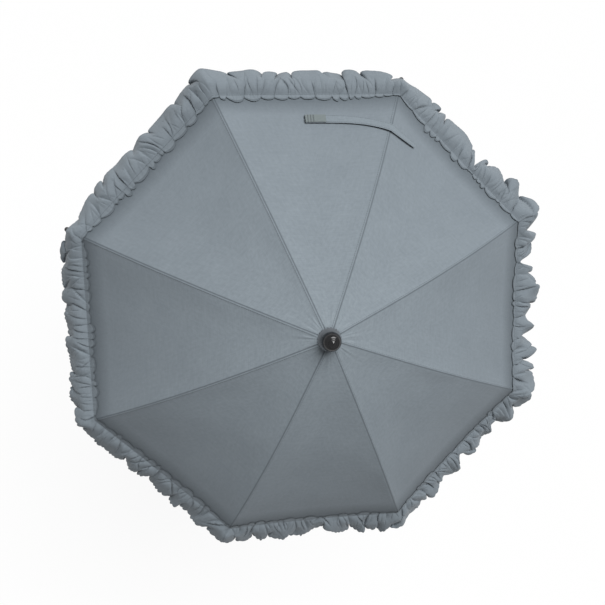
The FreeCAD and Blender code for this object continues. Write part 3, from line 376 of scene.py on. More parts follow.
THREAD_PITCH = 0.0005
SLUB_WIDTH = 0.0009
SLUB_STRETCH = 0.04
SPECKLE = 0.0042
CLOUDING = 0.05
CLOTH_DARK = shade(108, 117, 124)
THREAD_DARK = shade(74, 82, 88)


def flat_place(finish, layer):
    """A named place on the flat cloth: as a vector, and its two sides."""
    place = finish.node("ShaderNodeUVMap", {"uv_map": layer})
    first = finish.node("ShaderNodeSeparateXYZ", sockets={0: place}, output=0)
    second = finish.node("ShaderNodeSeparateXYZ", sockets={0: place}, output=1)
    return place, first, second


def plain_weave(finish, across, along):
    """How high the threads lie where they cross, from 0 to 1."""
    warp = finish.maths("SINE", across * (math.pi / THREAD_PITCH))
    weft = finish.maths("SINE", along * (math.pi / THREAD_PITCH))
    return warp * weft * 0.5 + 0.5


STITCH_PITCH = 0.0028
STITCH_LENGTH = 0.0021
STITCH_HALF = 0.0004


def stitches(from_line, run):
    """1 on the thread of a line of stitches and 0 beside it."""
    return (from_line < STITCH_HALF) * ((run % STITCH_PITCH) < STITCH_LENGTH)


class Cloth(Finish):
    """Plain-woven cloth with slubs and a faint mottle, whose tone runs from first_tone to last_tone along
    it; on the canopy that is painted shade, darker towards the hem.
    """

    def __init__(self, name, first_tone, last_tone):
        super().__init__(bpy.data.materials.new(name))
        cut, self.across, self.along = flat_place(self, "cut")
        self.weave = plain_weave(self, self.across, self.along)
        lengthways = {0: self.across, 1: self.along * SLUB_STRETCH}
        crossways = {0: self.across * SLUB_STRETCH, 1: self.along}
        long_slubs = self.mottle(SLUB_WIDTH, self.node("ShaderNodeCombineXYZ", sockets=lengthways))
        cross_slubs = self.mottle(SLUB_WIDTH, self.node("ShaderNodeCombineXYZ", sockets=crossways))
        self.slubs = long_slubs * 0.5 + cross_slubs * 0.5
        speckle = self.mottle(SPECKLE, cut, 3.0)
        cloud = self.mottle(CLOUDING, cut, 3.0)
        uneven = (self.slubs - 0.5) * 0.9 + (speckle - 0.5) * 0.7 + (cloud - 0.5) * 0.5
        darker = self.maths("MAXIMUM", uneven + 0.35 - self.weave * 0.1, 0.0)
        # Painted shade: the tone darkens from first_tone to last_tone along the cloth towards the hem
        shaded_towards_hem = self.tint(self.maths("MINIMUM", self.along / HEM_REACH, 1.0), first_tone, last_tone)
        self.tone = self.tint(darker, shaded_towards_hem, CLOTH_DARK)

    def darken(self, share):
        self.tone = self.tint(share, self.tone, THREAD_DARK)

    def sewn(self, thread):
        """The finished material, with the stitches that thread gives."""
        self.darken(thread * 0.45)
        return self.surface(
            Base_Color=self.tone,
            Roughness=0.86 + (self.slubs - 0.5) * 0.16,
            Sheen_Weight=0.12,
            Sheen_Roughness=0.5,
            Specular_IOR_Level=0.25,
            Normal=self.bump(self.weave * 0.5 + self.slubs * 0.3 + thread * 0.4, 0.00012),
        )


# Painted shade: the canopy runs from the lighter tone at the crown to the darker one at its hem; the frill
# takes the hem's tone all over
CLOTH_AT_CROWN = shade(141, 151, 158)
CLOTH_AT_HEM = shade(123, 132, 139)
SEAM_SHADE_HALF = 0.0009
SEAM_STITCHES = 0.0027
HEM_SHADE_FROM = 0.293
HEM_SHADE_WIDTH = 0.020


def canopy_finish():
    """The canopy's cloth: stitched beside its seams, with painted shade in the crease of each seam and on
    its margin just inside the frill's heading, and painted shade darkening it towards the hem."""
    cloth = Cloth("canopy_cloth", CLOTH_AT_CROWN, CLOTH_AT_HEM)
    # Painted shade: a dark line in the crease along each seam
    crease = cloth.maths("EXPONENT", (cloth.across / SEAM_SHADE_HALF) ** 2 * -1)
    cloth.darken(crease * 0.62)
    # Painted shade: a band darkening the cloth on its margin, inwards of the frill's heading, where the
    # heading shades it
    hem_shade = cloth.maths("MAXIMUM", (cloth.along - HEM_SHADE_FROM) / HEM_SHADE_WIDTH, 0.0)
    cloth.darken(cloth.maths("MINIMUM", hem_shade, 1.0) * 0.52)
    return cloth.sewn(stitches(abs(cloth.across - SEAM_STITCHES), cloth.along))


# The grid of the cloth: distances from a seam of the columns that shape it, and rows from the hole
# to the hem, close together where the cloth bends most
MILLI = 0.001
SEAM_COLUMNS = MILLI * np.array((0, 0.45, 0.9, 1.4, 2.0, 2.8, 3.8, 5.4, 8.0, 11.0))
SEAM_ROOM = 0.024
PANEL_COLUMNS = 28
CAP_ROWS = 5
CROWN_ROWS = 25
CROWN_END = 0.060
PANEL_ROWS = 59
MARGIN_START = 0.290
MARGIN_ROWS = 16
radii = np.concatenate(
    [
        np.linspace(CLOTH_HOLE, SKIRT_START, CAP_ROWS + 1)[:-1],
        np.linspace(SKIRT_START, CROWN_END, CROWN_ROWS + 1)[:-1],
        np.linspace(CROWN_END, MARGIN_START, PANEL_ROWS + 1)[:-1],
        np.linspace(MARGIN_START, HEM_REACH, MARGIN_ROWS),
    ]
)
half_widths = radii * math.sin(HALF_TURN)
seam_part = SEAM_COLUMNS * np.minimum(1, half_widths / SEAM_ROOM)[:, None]
spread = np.arange(1, PANEL_COLUMNS + 1) / PANEL_COLUMNS
panel_part = seam_part[:, -1:] + (half_widths[:, None] - seam_part[:, -1:]) * spread
half_row = np.concatenate([seam_part, panel_part], 1)
from_seam = np.concatenate([-half_row[:, :0:-1], half_row[:, :-1]], 1)
columns = from_seam.shape[1]

PLEAT_DEPTH = 0.0001
PLEATS_AT = 0.027
PLEATS_SPREAD = 0.018
PLEATS_BEGIN = (0.0165, 0.022)
DRIFT_DEPTH = 0.0007
DRIFT_BEGINS = (0.03, 0.12)
DRIFT_ENDS = (0.312, 0.260)
GATHER_DEPTH = 0.0001
GATHER_REACH = 0.020
PUCKER_DEPTH = 0.00012
PUCKER_REACH = 0.007
PUCKERS_BEGIN = (0.02, 0.05)
TAUT_BESIDE_RIB = 0.012


def slackness(panel, radius, share, seam):
    """How high the cloth rises: pleats at the crown, a slow drift in the panels, gathers above the
    frill's stitching and puckers along the seams."""
    sideways = radius * math.sin(HALF_TURN) * share
    turn = RIB_TURN * panel + np.arctan2(sideways, radius * math.cos(HALF_TURN))
    crown = np.exp(-(((radius - PLEATS_AT) / PLEATS_SPREAD) ** 2)) * smooth_step(*PLEATS_BEGIN, radius)
    pleats = np.sin(19 * turn + 0.7) + np.sin(31 * turn + 2.1) + 0.7 * np.sin(46 * turn)
    x = radius * np.cos(turn)
    y = radius * np.sin(turn)
    drift = np.sin(31 * x + 22 * y + 1.0) * np.sin(-14 * x + 37 * y) + np.sin(52 * x - 19 * y + 2.0) * 0.5
    in_panel = smooth_step(*DRIFT_BEGINS, radius) * smooth_step(*DRIFT_ENDS, radius)
    along_hem = (panel + share / 2) * HEM_SIDE
    near_hem = np.exp((radius - HEM_REACH) / GATHER_REACH)
    gathers = np.sin(along_hem * 390 + 2 * np.sin(along_hem * 61)) + np.sin(along_hem * 233 + 1.7)
    beside_seam = np.exp(-np.abs(seam) / PUCKER_REACH) * smooth_step(*PUCKERS_BEGIN, radius)
    puckers = np.sin(radius * 700 + 1.5 * np.sin(radius * 170))
    off_rib = 1 - np.exp(-((seam / TAUT_BESIDE_RIB) ** 2))
    return (
        PLEAT_DEPTH * crown * pleats
        + off_rib * (DRIFT_DEPTH * in_panel * drift + GATHER_DEPTH * near_hem * gathers)
        + PUCKER_DEPTH * beside_seam * puckers
    )


CREASE_DEPTH = 0.00045
CREASE_HALF = 0.0006
TURNED_EDGE_HEIGHT = 0.00035
TURNED_EDGE_PLACE = 0.0019
TURNED_EDGE_HALF = 0.001
ALLOWANCE_THICKNESS = 0.00035
ALLOWANCE_FROM = 0.0032
ALLOWANCE_TO = 0.0090
ALLOWANCE_STEP = 0.0004
top_parts = []
under_parts = []
for rib in every_rib:
    panel = np.where(from_seam < 0, rib - 1.0, rib)
    share = np.where(from_seam < 0, 1, -1) + from_seam / half_widths[:, None]
    radius = np.broadcast_to(radii[:, None], from_seam.shape)
    slack = slackness(panel, radius, share, from_seam)
    crease = -CREASE_DEPTH * np.exp(-((from_seam / CREASE_HALF) ** 2))
    turned_edge = TURNED_EDGE_HEIGHT * np.exp(-(((from_seam - TURNED_EDGE_PLACE) / TURNED_EDGE_HALF) ** 2))
    beside = np.abs(from_seam)
    allowance = smooth_step(ALLOWANCE_FROM, ALLOWANCE_FROM + ALLOWANCE_STEP, beside)
    allowance = allowance * smooth_step(ALLOWANCE_TO, ALLOWANCE_TO - ALLOWANCE_STEP, beside)
    top_parts.append(over_panel(panel, radius, share, CLOTH_THICKNESS + slack + crease + turned_edge))
    under_parts.append(over_panel(panel, radius, share, slack - ALLOWANCE_THICKNESS * allowance))
canopy_top = np.concatenate(top_parts, 1)
canopy_under = np.concatenate(under_parts, 1)
canopy_normals = cloth_normals(canopy_top)
canopy_cloth = canopy_finish()
seam_ends = np.concatenate([from_seam, half_row[:, -1:]], 1)
canopy_cut = np.stack([seam_ends, np.broadcast_to(radii[:, None], seam_ends.shape)], -1)

PANEL_LENGTH = 0.352
SIDES = {"left": 1.0, "right": -1.0}


def crumple(cloth, rib, side, reach):
    """Hangs the cloth on one side of a rib on that rib, so that it moves with it. The cloth's middle is
    reach metres from the shaft."""
    panel = np.array(rib - 1.0 if side == "left" else rib)
    here = np.array(reach)
    on_rib = np.array(SIDES[side])
    middle = np.array(0.0)
    flat = np.array(0.0)
    seam = over_panel(panel, here, on_rib, flat)
    ahead = over_panel(panel, here + MILLI, on_rib, flat) - seam
    ahead = ahead / np.linalg.norm(ahead)
    chord = over_panel(panel, here, middle, flat) - seam
    axis = chord - ahead * chord.dot(ahead)
    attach(cloth, f"rib_{rib}")
    axis / np.linalg.norm(axis)
    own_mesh(cloth)


def halves(first, last, count):
    """Column numbers of the cloth left and right of a rib, round the canopy and within the piece."""
    middle = (last - first) // 2
    whole = np.arange(first, last + 1) % count
    yield "left", whole[: middle + 1], slice(0, middle + 1)
    yield "right", whole[middle:], slice(middle, None)


on_cap = slice(0, CAP_ROWS + 1)
all_round = np.arange(RIBS * columns + 1) % (RIBS * columns)
canopy_ring = sewn_sheet(
    "canopy_ring",
    canopy_top[on_cap, all_round],
    canopy_under[on_cap, all_round],
    canopy_normals[on_cap, all_round],
    canopy_cloth,
    cut=canopy_cut[on_cap, all_round % columns],
)
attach(canopy_ring, "upper_shaft")

# How far each band of the canopy reaches, in metres, and how much of its width is left when folded
FOLD_BANDS = {"upper": (0.090, 0.22), "middle": (0.190, 0.14), "lower": (HEM_REACH, 0.08)}
first_row = CAP_ROWS
for band, (reach, keep) in FOLD_BANDS.items():
    last_row = int(np.argmin(np.abs(radii - reach)))
    span = slice(first_row, last_row + 1)
    inner, outer = float(radii[first_row]), float(radii[last_row])
    middle = (inner + outer) / 2
    length = PANEL_LENGTH * (outer - inner) / HEM_REACH
    for rib in every_rib:
        for side, here, within in halves((rib - 1) * columns, rib * columns, RIBS * columns):
            gore = sewn_sheet(
                f"canopy_{rib}_{side}_{band}",
                canopy_top[span, here],
                canopy_under[span, here],
                canopy_normals[span, here],
                canopy_cloth,
                cut=canopy_cut[span, within],
            )
            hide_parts(f"panel_{rib}")
            crumple(gore, rib, side, middle)
            middle * math.sin(HALF_TURN) * length
    first_row = last_row

# Frill: a strip of the same cloth, overlocked along both edges, gathered on a thread and sewn on top
# of the canopy's margin. Its scalloped heading lies inwards, and its folds puff up and wave over the
# hem. It is made here in sixteen lengths, cut like the canopy.

FRILL_COLUMNS = 320
FRILL_SEAM = 0.3178
FRILL_BOW = 0.004
HEADING_ROWS = (-5.5, -5.1, -4.4, -3.4, -2.3, -1.1)
PUFF_ROWS = (0, 1.1, 2.3, 3.7, 5.3, 7.1, 9.1, 11.3, 13.6, 16.0, 18.5, 21.0, 23.5, 26.0)
EDGE_ROWS = (28.4, 30.7, 32.8, 34.6, 36.1, 37.3, 38.1, 38.5)
FRILL_ROWS = MILLI * np.array(HEADING_ROWS + PUFF_ROWS + EDGE_ROWS)
FRILL_EDGE = float(FRILL_ROWS[-1])
frill_count = RIBS * FRILL_COLUMNS
frill_step = HEM_SIDE / FRILL_COLUMNS
perimeter = RIBS * HEM_SIDE
hem_place = np.arange(frill_count) * frill_step
rows = FRILL_ROWS[:, None]
fold_dice = np.random.default_rng(11)


def fold_edges(shortest, longest):
    """Places round the hem, in metres, where one fold ends and the next begins."""
    lengths = []
    while sum(lengths) < perimeter:
        lengths.append(shortest + (longest - shortest) * fold_dice.random() ** 1.6)
    edges = np.concatenate([[0], np.cumsum(lengths)])
    return edges * perimeter / edges[-1]


def from_place(place):
    """Distance along the hem from a place, the short way round."""
    return (hem_place - place + perimeter / 2) % perimeter - perimeter / 2


def arches(edges, roundness):
    """Arches round the hem between those places, from 0 to 1, each with its own height."""
    heights = fold_dice.uniform(0.3, 1, len(edges) - 1)
    number = np.clip(np.searchsorted(edges, hem_place, side="right") - 1, 0, len(heights) - 1)
    phase = (hem_place - edges[number]) / (edges[number + 1] - edges[number])
    return heights[number] * np.sin(math.pi * phase) ** roundness


def tucks(edges, first_row, last_rows, steep, gentle):
    """Creases that start at an edge of the frill and fade out across it, each with one steep flank.
    Their depth is from 0 to 1, and their overlap how far a steep flank is drawn over its crease."""
    depth = np.zeros((len(FRILL_ROWS), frill_count))
    overlap = np.zeros_like(depth)
    for edge in edges[:-1]:
        lean = fold_dice.normal(0, 0.38)
        strength = fold_dice.uniform(0.45, 1)
        fade = strength * smooth_step(fold_dice.uniform(*last_rows), first_row, rows)
        facing = fold_dice.choice((-1, 1))
        steep_flank = fold_dice.uniform(*steep)
        gentle_flank = fold_dice.uniform(*gentle)
        bend = lean * (rows - first_row) + fold_dice.normal(0, 0.0012) * np.sin((rows - first_row) * 150)
        offset = facing * ((from_place(edge) - bend + perimeter / 2) % perimeter - perimeter / 2)
        flank = np.where(offset < 0, steep_flank, gentle_flank)
        depth = np.maximum(depth, fade * np.exp(-np.abs(offset) / flank))
        along_flank = np.clip(-offset, 0, None) / steep_flank
        overlap = overlap + facing * fade * steep_flank * along_flank * np.exp(1 - along_flank)
    return depth, overlap


def drifting(wavelength):
    """A slow, smooth, random change round the hem, from about -1 to 1."""
    waves = np.arange(1, int(perimeter / wavelength) + 1)
    size = fold_dice.normal(size=len(waves))
    start = fold_dice.uniform(0, 2 * math.pi, len(waves))
    mix = (size * np.sin(waves * 2 * math.pi * hem_place[:, None] / perimeter + start)).sum(1)
    return mix / (2 * mix.std())


def by_panel(*values):
    """A value for each panel, in the middle of its side, and between them round the hem."""
    return np.interp(hem_place / HEM_SIDE, np.arange(RIBS) + 0.5, values, period=RIBS)


def by_row(*places_and_sizes):
    """Sizes in millimetres at distances in millimetres from the stitching."""
    places, sizes = zip(*places_and_sizes)
    return MILLI * np.interp(rows, MILLI * np.array(places), sizes)


def drawn_at(spots):
    """How strongly the frill is drawn at spots: a rib and a share of the side after it, the strength,
    and how far it reaches before and after."""
    strongest = np.zeros(frill_count)
    for rib_and_share, strength, before, after in spots:
        offset = from_place((rib_and_share - 1) * HEM_SIDE)
        here = strength * np.exp(-((offset / np.where(offset < 0, before, after)) ** 2))
        strongest = np.maximum(strongest, here)
    return strongest


STITCHING = 0.0
outer_edges = fold_edges(shortest=0.016, longest=0.060)
inner_edges = fold_edges(shortest=0.008, longest=0.028)
ripple_edges = fold_edges(shortest=0.004, longest=0.010)
outer_arch = arches(outer_edges, roundness=0.4)
inner_arch = arches(inner_edges, roundness=0.6)
ripples = arches(ripple_edges, roundness=0.8)
outer_tucks, outer_overlap = tucks(
    outer_edges, FRILL_EDGE, last_rows=(-0.004, 0.016), steep=(0.0014, 0.0028), gentle=(0.005, 0.011)
)
inner_tucks, inner_overlap = tucks(
    inner_edges, STITCHING, last_rows=(0.016, 0.050), steep=(0.0009, 0.0018), gentle=(0.003, 0.007)
)
ripple_tucks, ripple_overlap = tucks(
    ripple_edges, STITCHING, last_rows=(0.014, 0.060), steep=(0.0009, 0.0014), gentle=(0.0016, 0.0035)
)

# How full and how crumpled each panel's frill is, how far it hangs, how high it waves, how deep its
# lobes and its small teeth are, how wide its heading is, and where it is pinched or puffed out
FULLNESS = by_panel(1, 1, 1, 1, 0.6, 0.6, 0.8, 0.95) * (1 + 0.22 * drifting(0.09))
CRUMPLE = by_panel(1.1, 0.9, 0.9, 0.9, 1.0, 1.1, 1.2, 1.3)
HANG = np.radians(by_panel(0, 7, 9, 6, 0, -7, -13, -11) + 5 * drifting(0.05))
WAVE = by_panel(5, 2.5, 3, 3.5, 4.5, 6, 8, 7) * MILLI * drifting(0.028)
LOBES = by_panel(0.24, 0.10, 0.14, 0.14, 0.16, 0.26, 0.42, 0.32)
TEETH = by_panel(0.03, 0.0, 0.01, 0.07, 0.13, 0.12, 0.05, 0.06)
HEADING = by_panel(1.9, 1.9, 2.0, 1.7, 1.7, 1.3, 1.0, 1.1)
HEADING_CORNER = 0.030
pinch = drawn_at(
    (
        (1.40, 0.8, 0.007, 0.007),
        (2.0, 0.28, 0.020, 0.026),
        (4.0, 0.48, 0.036, 0.012),
        (5.0, 0.3, 0.014, 0.014),
        (6.58, 0.45, 0.030, 0.020),
        (7.14, 0.35, 0.006, 0.006),
        (7.34, 0.4, 0.006, 0.006),
        (7.5, 0.55, 0.008, 0.006),
        (7.76, 0.5, 0.006, 0.006),
        (8.17, 0.45, 0.008, 0.008),
        (8.42, 0.5, 0.012, 0.012),
        (8.76, 1.0, 0.007, 0.007),
        (8.94, 0.6, 0.006, 0.006),
    )
)
puff = drawn_at(
    (
        (1.0, 0.2, 0.014, 0.022),
        (3.0, 0.12, 0.030, 0.030),
        (4.15, 0.12, 0.020, 0.030),
        (8.0, 0.08, 0.030, 0.030),
    )
)

bulge = by_row(
    (-5.5, 0.7), (-3, 0.9), (0, 0.5), (2.5, 3.2), (6, 6.2), (11, 8.0), (18, 8.2), (28, 6.4), (38.5, 3.6)
)
outer_depth = by_row((0, 0), (6, 2), (14, 5), (24, 8), (38.5, 10))
inner_depth = by_row((-5.5, 0.5), (0, 0.4), (3, 3.0), (7, 6.0), (14, 7.4), (24, 6.6), (38.5, 4))
ripple_depth = by_row((-5.5, 0.4), (0, 0.2), (3, 1.4), (8, 2.8), (20, 2.9), (38.5, 2.2))
folded_in = np.maximum(outer_depth * outer_tucks, inner_depth * inner_tucks)
folded_in = np.maximum(folded_in, ripple_depth * ripple_tucks)
WAVES_FROM = 0.004
LIES_WITHIN = (0.018, 0.010)
LEAST_RISE = 0.0003
TIP_RISE = 0.004
TIP_ROOM = 0.009
TIP_FROM = (0.004, 0.016)
rise = FULLNESS * (1 + puff) * bulge - CRUMPLE * folded_in
rise = rise + WAVE * smooth_step(WAVES_FROM, FRILL_EDGE, rows)
on_canopy = smooth_step(*LIES_WITHIN, rows)
rise = np.where(rise < LEAST_RISE, LEAST_RISE + (rise - LEAST_RISE) * (1 - on_canopy), rise)
to_corner = (hem_place + HEM_SIDE / 2) % HEM_SIDE - HEM_SIDE / 2
over_tip = TIP_RISE * np.exp(-((to_corner / TIP_ROOM) ** 2)) * smooth_step(*TIP_FROM, rows)
rise = rise * (1 - 0.5 * pinch) + over_tip

LOBES_FROM = 0.005
TEETH_FROM = 0.020
HANGS_FROM = (0.004, 0.030)
lobes = 1 + LOBES * (outer_arch - 0.5) * smooth_step(LOBES_FROM, FRILL_EDGE, rows)
lobes = lobes + TEETH * (ripples - 0.5) * smooth_step(TEETH_FROM, FRILL_EDGE, rows)
narrowed = 0.5 * np.exp(-((to_corner / HEADING_CORNER) ** 2))
scallops = (0.3 + 1.1 * inner_arch) * HEADING * (1 - narrowed)
reach = rows * np.where(rows < 0, scallops, lobes * (1 + puff)) * (1 - 0.85 * pinch)
tilt = HANG * smooth_step(*HANGS_FROM, rows)
stretch = np.diff(reach, axis=0, prepend=reach[:1])
outwards = np.cumsum(stretch * np.cos(tilt), 0)
dropped = np.cumsum(stretch * np.sin(tilt), 0)
seam_row = int(np.argmin(np.abs(FRILL_ROWS)))
outwards = outwards - outwards[seam_row]
dropped = dropped - dropped[seam_row]

CORNER_ROUND = 0.045
FRILL_SEAT = CLOTH_THICKNESS + 0.0008
OVERLAP = 1.5
pulled = (hem_place + OVERLAP * (outer_overlap + inner_overlap) + ripple_overlap) % perimeter
panel = np.floor(pulled / HEM_SIDE) + 1
share = 2 * (pulled / HEM_SIDE - panel) + 1
seam_reach = FRILL_SEAM + FRILL_BOW * (1 - share**2)
stitched = over_panel(panel, seam_reach, share, np.full_like(pulled, FRILL_SEAT))
edge_share = np.clip(1 - (1 - np.abs(share)) * HEM_SIDE / 2 / CORNER_ROUND, 0, 1)
weight = (edge_share**2 / 2)[..., None]
neighbour = panel + np.sign(share)
out = (1 - weight) * panel_sides(panel)[0] + weight * panel_sides(neighbour)[0]
hem_fall = float(panel_fall(np.array(HEM_REACH)))
downhill = out - UP * hem_fall
downhill = downhill / np.linalg.norm(downhill, axis=-1, keepdims=True)
raised = out * hem_fall + UP
raised = raised / np.linalg.norm(raised, axis=-1, keepdims=True)
frill_top = stitched + downhill * outwards[..., None] + raised * (rise - dropped)[..., None]
frill_normals = cloth_normals(frill_top)
FRILL_THICKNESS = 0.0005
frill_under = frill_top - frill_normals * FRILL_THICKNESS
CREASED_FROM = (0.002, 0.020)
# Painted shade: how dark each crease of the frill is painted
crease = np.maximum(outer_tucks * smooth_step(*CREASED_FROM, rows), inner_tucks)
crease = np.maximum(crease, 0.7 * ripple_tucks) ** 2
frill_fold = np.stack([crease, np.zeros_like(crease)], -1)

INNER_OVERLOCK_AND_SHADE = 0.0016
OUTER_OVERLOCK = 0.0013


def frill_finish():
    """The frill's cloth: painted shade in its creases, darker along its overlocked edges, with the inner
    band widened as painted shade under the heading, and the line of stitches that holds it."""
    cloth = Cloth("frill_cloth", CLOTH_AT_HEM, CLOTH_AT_HEM)
    # Painted shade in the creases of the folds
    depth = flat_place(cloth, "fold")[1]
    cloth.darken(depth * 0.75)
    # The outer band is the overlock thread; the inner band is the overlock thread widened with painted
    # shade under the heading
    inner = cloth.along < FRILL_ROWS[0] + INNER_OVERLOCK_AND_SHADE
    outer = cloth.along > FRILL_EDGE - OUTER_OVERLOCK
    cloth.darken((inner + outer) * 0.5)
    return cloth.sewn(stitches(abs(cloth.along), cloth.across))


frill_cloth = frill_finish()
FRILL_FULLNESS = 1.4
along_strip = np.arange(FRILL_COLUMNS + 1) * frill_step * FRILL_FULLNESS
frill_cut = np.stack(np.broadcast_arrays(along_strip, rows), -1)
for rib in every_rib:
    start = (rib - 1) * FRILL_COLUMNS - FRILL_COLUMNS // 2
    for side, here, within in halves(start, start + FRILL_COLUMNS, frill_count):
        strip = sewn_sheet(
            f"ruffle_{rib}_{side}",
            frill_top[:, here],
            frill_under[:, here],
            frill_normals[:, here],
            frill_cloth,
            cut=frill_cut[:, within],
            fold=frill_fold[:, here],
        )
        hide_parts(f"frill_{rib}")
        crumple(strip, rib, side, FRILL_SEAM)

# Closing strap: a doubled strip of the cloth, sewn to one seam, that goes round the folded parasol.
# It lies on the cloth, a little tilted at the stitching, and the loop tape sewn on its end fastens it.

STRAP_RIB = 2
STRAP_REACH = 0.270
STRAP_WIDTH = 0.012
STRAP_THICKNESS = 0.0012
STRAP_LONG_ARM = 0.110
STRAP_SHORT_ARM = 0.040
STRAP_LEAD = 0.018
STRAP_TWIST = math.radians(-7)
STRAP_FLAT_FROM = 0.75
STRAP_TWIST_DELAY = 1.4
STRAP_CLEARANCE = 0.0007
STRAP_BEND = 0.012
strap_half_panel = STRAP_REACH * math.sin(HALF_TURN)
strap_fall = float(panel_fall(np.array(STRAP_REACH)))
strap_level = 1 / math.hypot(1, strap_fall)


def strap_sides(panel):
    """A panel's sideways, outward and upward directions under the strap."""
    out, along = panel_sides(panel)
    downhill = (out - UP * strap_fall) * strap_level
    raised = (out * strap_fall + UP) * strap_level
    return along, downhill, raised


strap_here = over_panel(np.array(STRAP_RIB), np.array(STRAP_REACH), np.array(-1.0), np.array(0.0))
strap_sag = HEM_SAG * (STRAP_REACH - SKIRT_START) / (HEM_REACH - SKIRT_START)


def strap_frame(distance):
    """Middle, sideways and upward directions and half width of the strap, past the seam."""
    share = distance / STRAP_LONG_ARM
    flattened = min(max(share, 0) / STRAP_FLAT_FROM, 1) ** STRAP_TWIST_DELAY
    twist = STRAP_TWIST * (1 - smooth_step(0, 1, flattened))
    half_width = STRAP_WIDTH / 2
    bend = np.clip(0.5 + distance / STRAP_BEND, 0, 1)
    before = strap_sides(STRAP_RIB - 1)
    after = strap_sides(STRAP_RIB)
    sides = [second * bend + first * (1 - bend) for first, second in zip(before, after)]
    out, rise = [side / np.linalg.norm(side) for side in sides[1:]]
    straight = after[0] if distance >= 0 else before[0]
    sag = strap_sag * (1 - (abs(distance) / strap_half_panel - 1) ** 2)
    if distance >= 0:
        lead = STRAP_LEAD * (1 - (1 - share) ** 3)
    else:
        back = -distance / STRAP_SHORT_ARM
        half_width *= 1 - back / 2
        lead = STRAP_LEAD * back / 2
    lift = half_width * abs(math.sin(twist)) + STRAP_THICKNESS / 2 * math.cos(twist)
    lift += CLOTH_THICKNESS + STRAP_CLEARANCE - sag
    middle = strap_here + straight * distance + out * lead + rise * lift
    across = out * math.cos(twist) + rise * math.sin(twist)
    through = rise * math.cos(twist) - out * math.sin(twist)
    return middle, across, through, half_width


ROUND_EDGE = 8
THIN_EDGE = 0.02


def flat_strip(frames, across_shares, thickness, name, material, lengths):
    """A closed strip through frames, thinner at its two long edges."""
    middle, across, through, half_width = [np.array(part) for part in zip(*frames)]
    shares = across_shares[:, None, None]
    half = thickness / 2 * np.sqrt(np.maximum(1 - np.abs(shares) ** ROUND_EDGE, THIN_EDGE))
    inside = middle + across * half_width[:, None] * shares
    facing = np.broadcast_to(through, inside.shape)
    flat = np.stack(np.broadcast_arrays(lengths, across_shares[:, None] * STRAP_WIDTH / 2), -1)
    return sewn_sheet(name, inside + through * half, inside - through * half, facing, material, cut=flat)


STRAP_CLOTH = shade(131, 141, 148)
STRAP_SPECKLE = 0.003
STRAP_STITCHES = 0.0046


def strap_finish():
    """The strap: the same weave, with a line of stitches near each long edge."""
    finish = Finish(bpy.data.materials.new("strap_cloth"))
    cut, along, across = flat_place(finish, "cut")
    weave = plain_weave(finish, across, along)
    speckle = finish.mottle(STRAP_SPECKLE, cut, 3.0)
    thread = stitches(abs(abs(across) - STRAP_STITCHES), along)
    toned = finish.tint(speckle * 0.9 - weave * 0.15, STRAP_CLOTH, CLOTH_DARK)
    return finish.surface(
        Base_Color=finish.tint(thread * 0.5, toned, THREAD_DARK),
        Roughness=0.85 + (speckle - 0.5) * 0.15,
        Sheen_Weight=0.12,
        Sheen_Roughness=0.5,
        Specular_IOR_Level=0.25,
        Normal=finish.bump(weave * 0.5 + thread * 0.5, 0.00015),
    )


SHORT_ARM_ROWS = 24
LONG_ARM_ROWS = 62
STRAP_COLUMNS = 15
short_arm = np.linspace(-STRAP_SHORT_ARM, 0, SHORT_ARM_ROWS + 1)[:-1]
strap_lengths = np.concatenate([short_arm, np.linspace(0, STRAP_LONG_ARM, LONG_ARM_ROWS)])
strap_shares = np.linspace(-1, 1, STRAP_COLUMNS)
strap = flat_strip(
    [strap_frame(distance) for distance in strap_lengths],
    strap_shares,
    STRAP_THICKNESS,
    "closing_strap",
    strap_finish(),
    strap_lengths,
)
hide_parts("strap")
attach(strap, f"rib_{STRAP_RIB}")

PATCH_LENGTH = 0.027
PATCH_WIDTH = 0.011
PATCH_THICKNESS = 0.001
PATCH_GAP = 0.0002
PATCH_ROWS = 28
PATCH_COLUMNS = 13
TAPE = shade(124, 133, 133)
TAPE_DARK = shade(98, 107, 109)
TAPE_THREAD = shade(62, 70, 74)
FUZZ = 0.0009
TUFT = 0.0032
STITCHED_END = 0.0115
STITCH_ROWS_APART = 0.0036
THREAD_ABOVE = 0.35


def tape_finish():
    """Fuzzy loop tape with three rows of stitches at the strap's end."""
    finish = Finish(bpy.data.materials.new("loop_tape"))
    along = flat_place(finish, "cut")[1]
    fuzz = finish.mottle(FUZZ, finish.place(), 4.0)
    tufts = finish.mottle(TUFT, finish.place(), 2.0)
    from_end = STRAP_LONG_ARM - along
    row = finish.maths("COSINE", from_end * (2 * math.pi / STITCH_ROWS_APART)) > THREAD_ABOVE
    rows_of_stitches = (from_end < STITCHED_END) * row
    toned = finish.tint(fuzz * 0.6 + tufts * 0.4, TAPE, TAPE_DARK)
    return finish.surface(
        Base_Color=finish.tint(rows_of_stitches * 0.6, toned, TAPE_THREAD),
        Roughness=0.95,
        Sheen_Weight=0.3,
        Sheen_Roughness=0.6,
        Specular_IOR_Level=0.2,
        Normal=finish.bump(fuzz * 0.6 + tufts * 0.4 - rows_of_stitches * 0.5, 0.0007),
    )


patch_lengths = np.linspace(STRAP_LONG_ARM - PATCH_LENGTH, STRAP_LONG_ARM, PATCH_ROWS)
patch_frames = []
for distance in patch_lengths:
    middle, across, through = strap_frame(distance)[:3]
    above = through * (STRAP_THICKNESS / 2 + PATCH_THICKNESS / 2 + PATCH_GAP)
    patch_frames.append((middle + above, across, through, PATCH_WIDTH / 2))
patch_shares = np.linspace(-1, 1, PATCH_COLUMNS)
patch = flat_strip(
    patch_frames, patch_shares, PATCH_THICKNESS, "strap_tape", tape_finish(), patch_lengths
)
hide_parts("strap_patch")
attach(patch, f"rib_{STRAP_RIB}")

# Finial: a turned black ball with a button on top, that screws on the shaft's end and holds the
# cloth down under a toothed zinc washer.

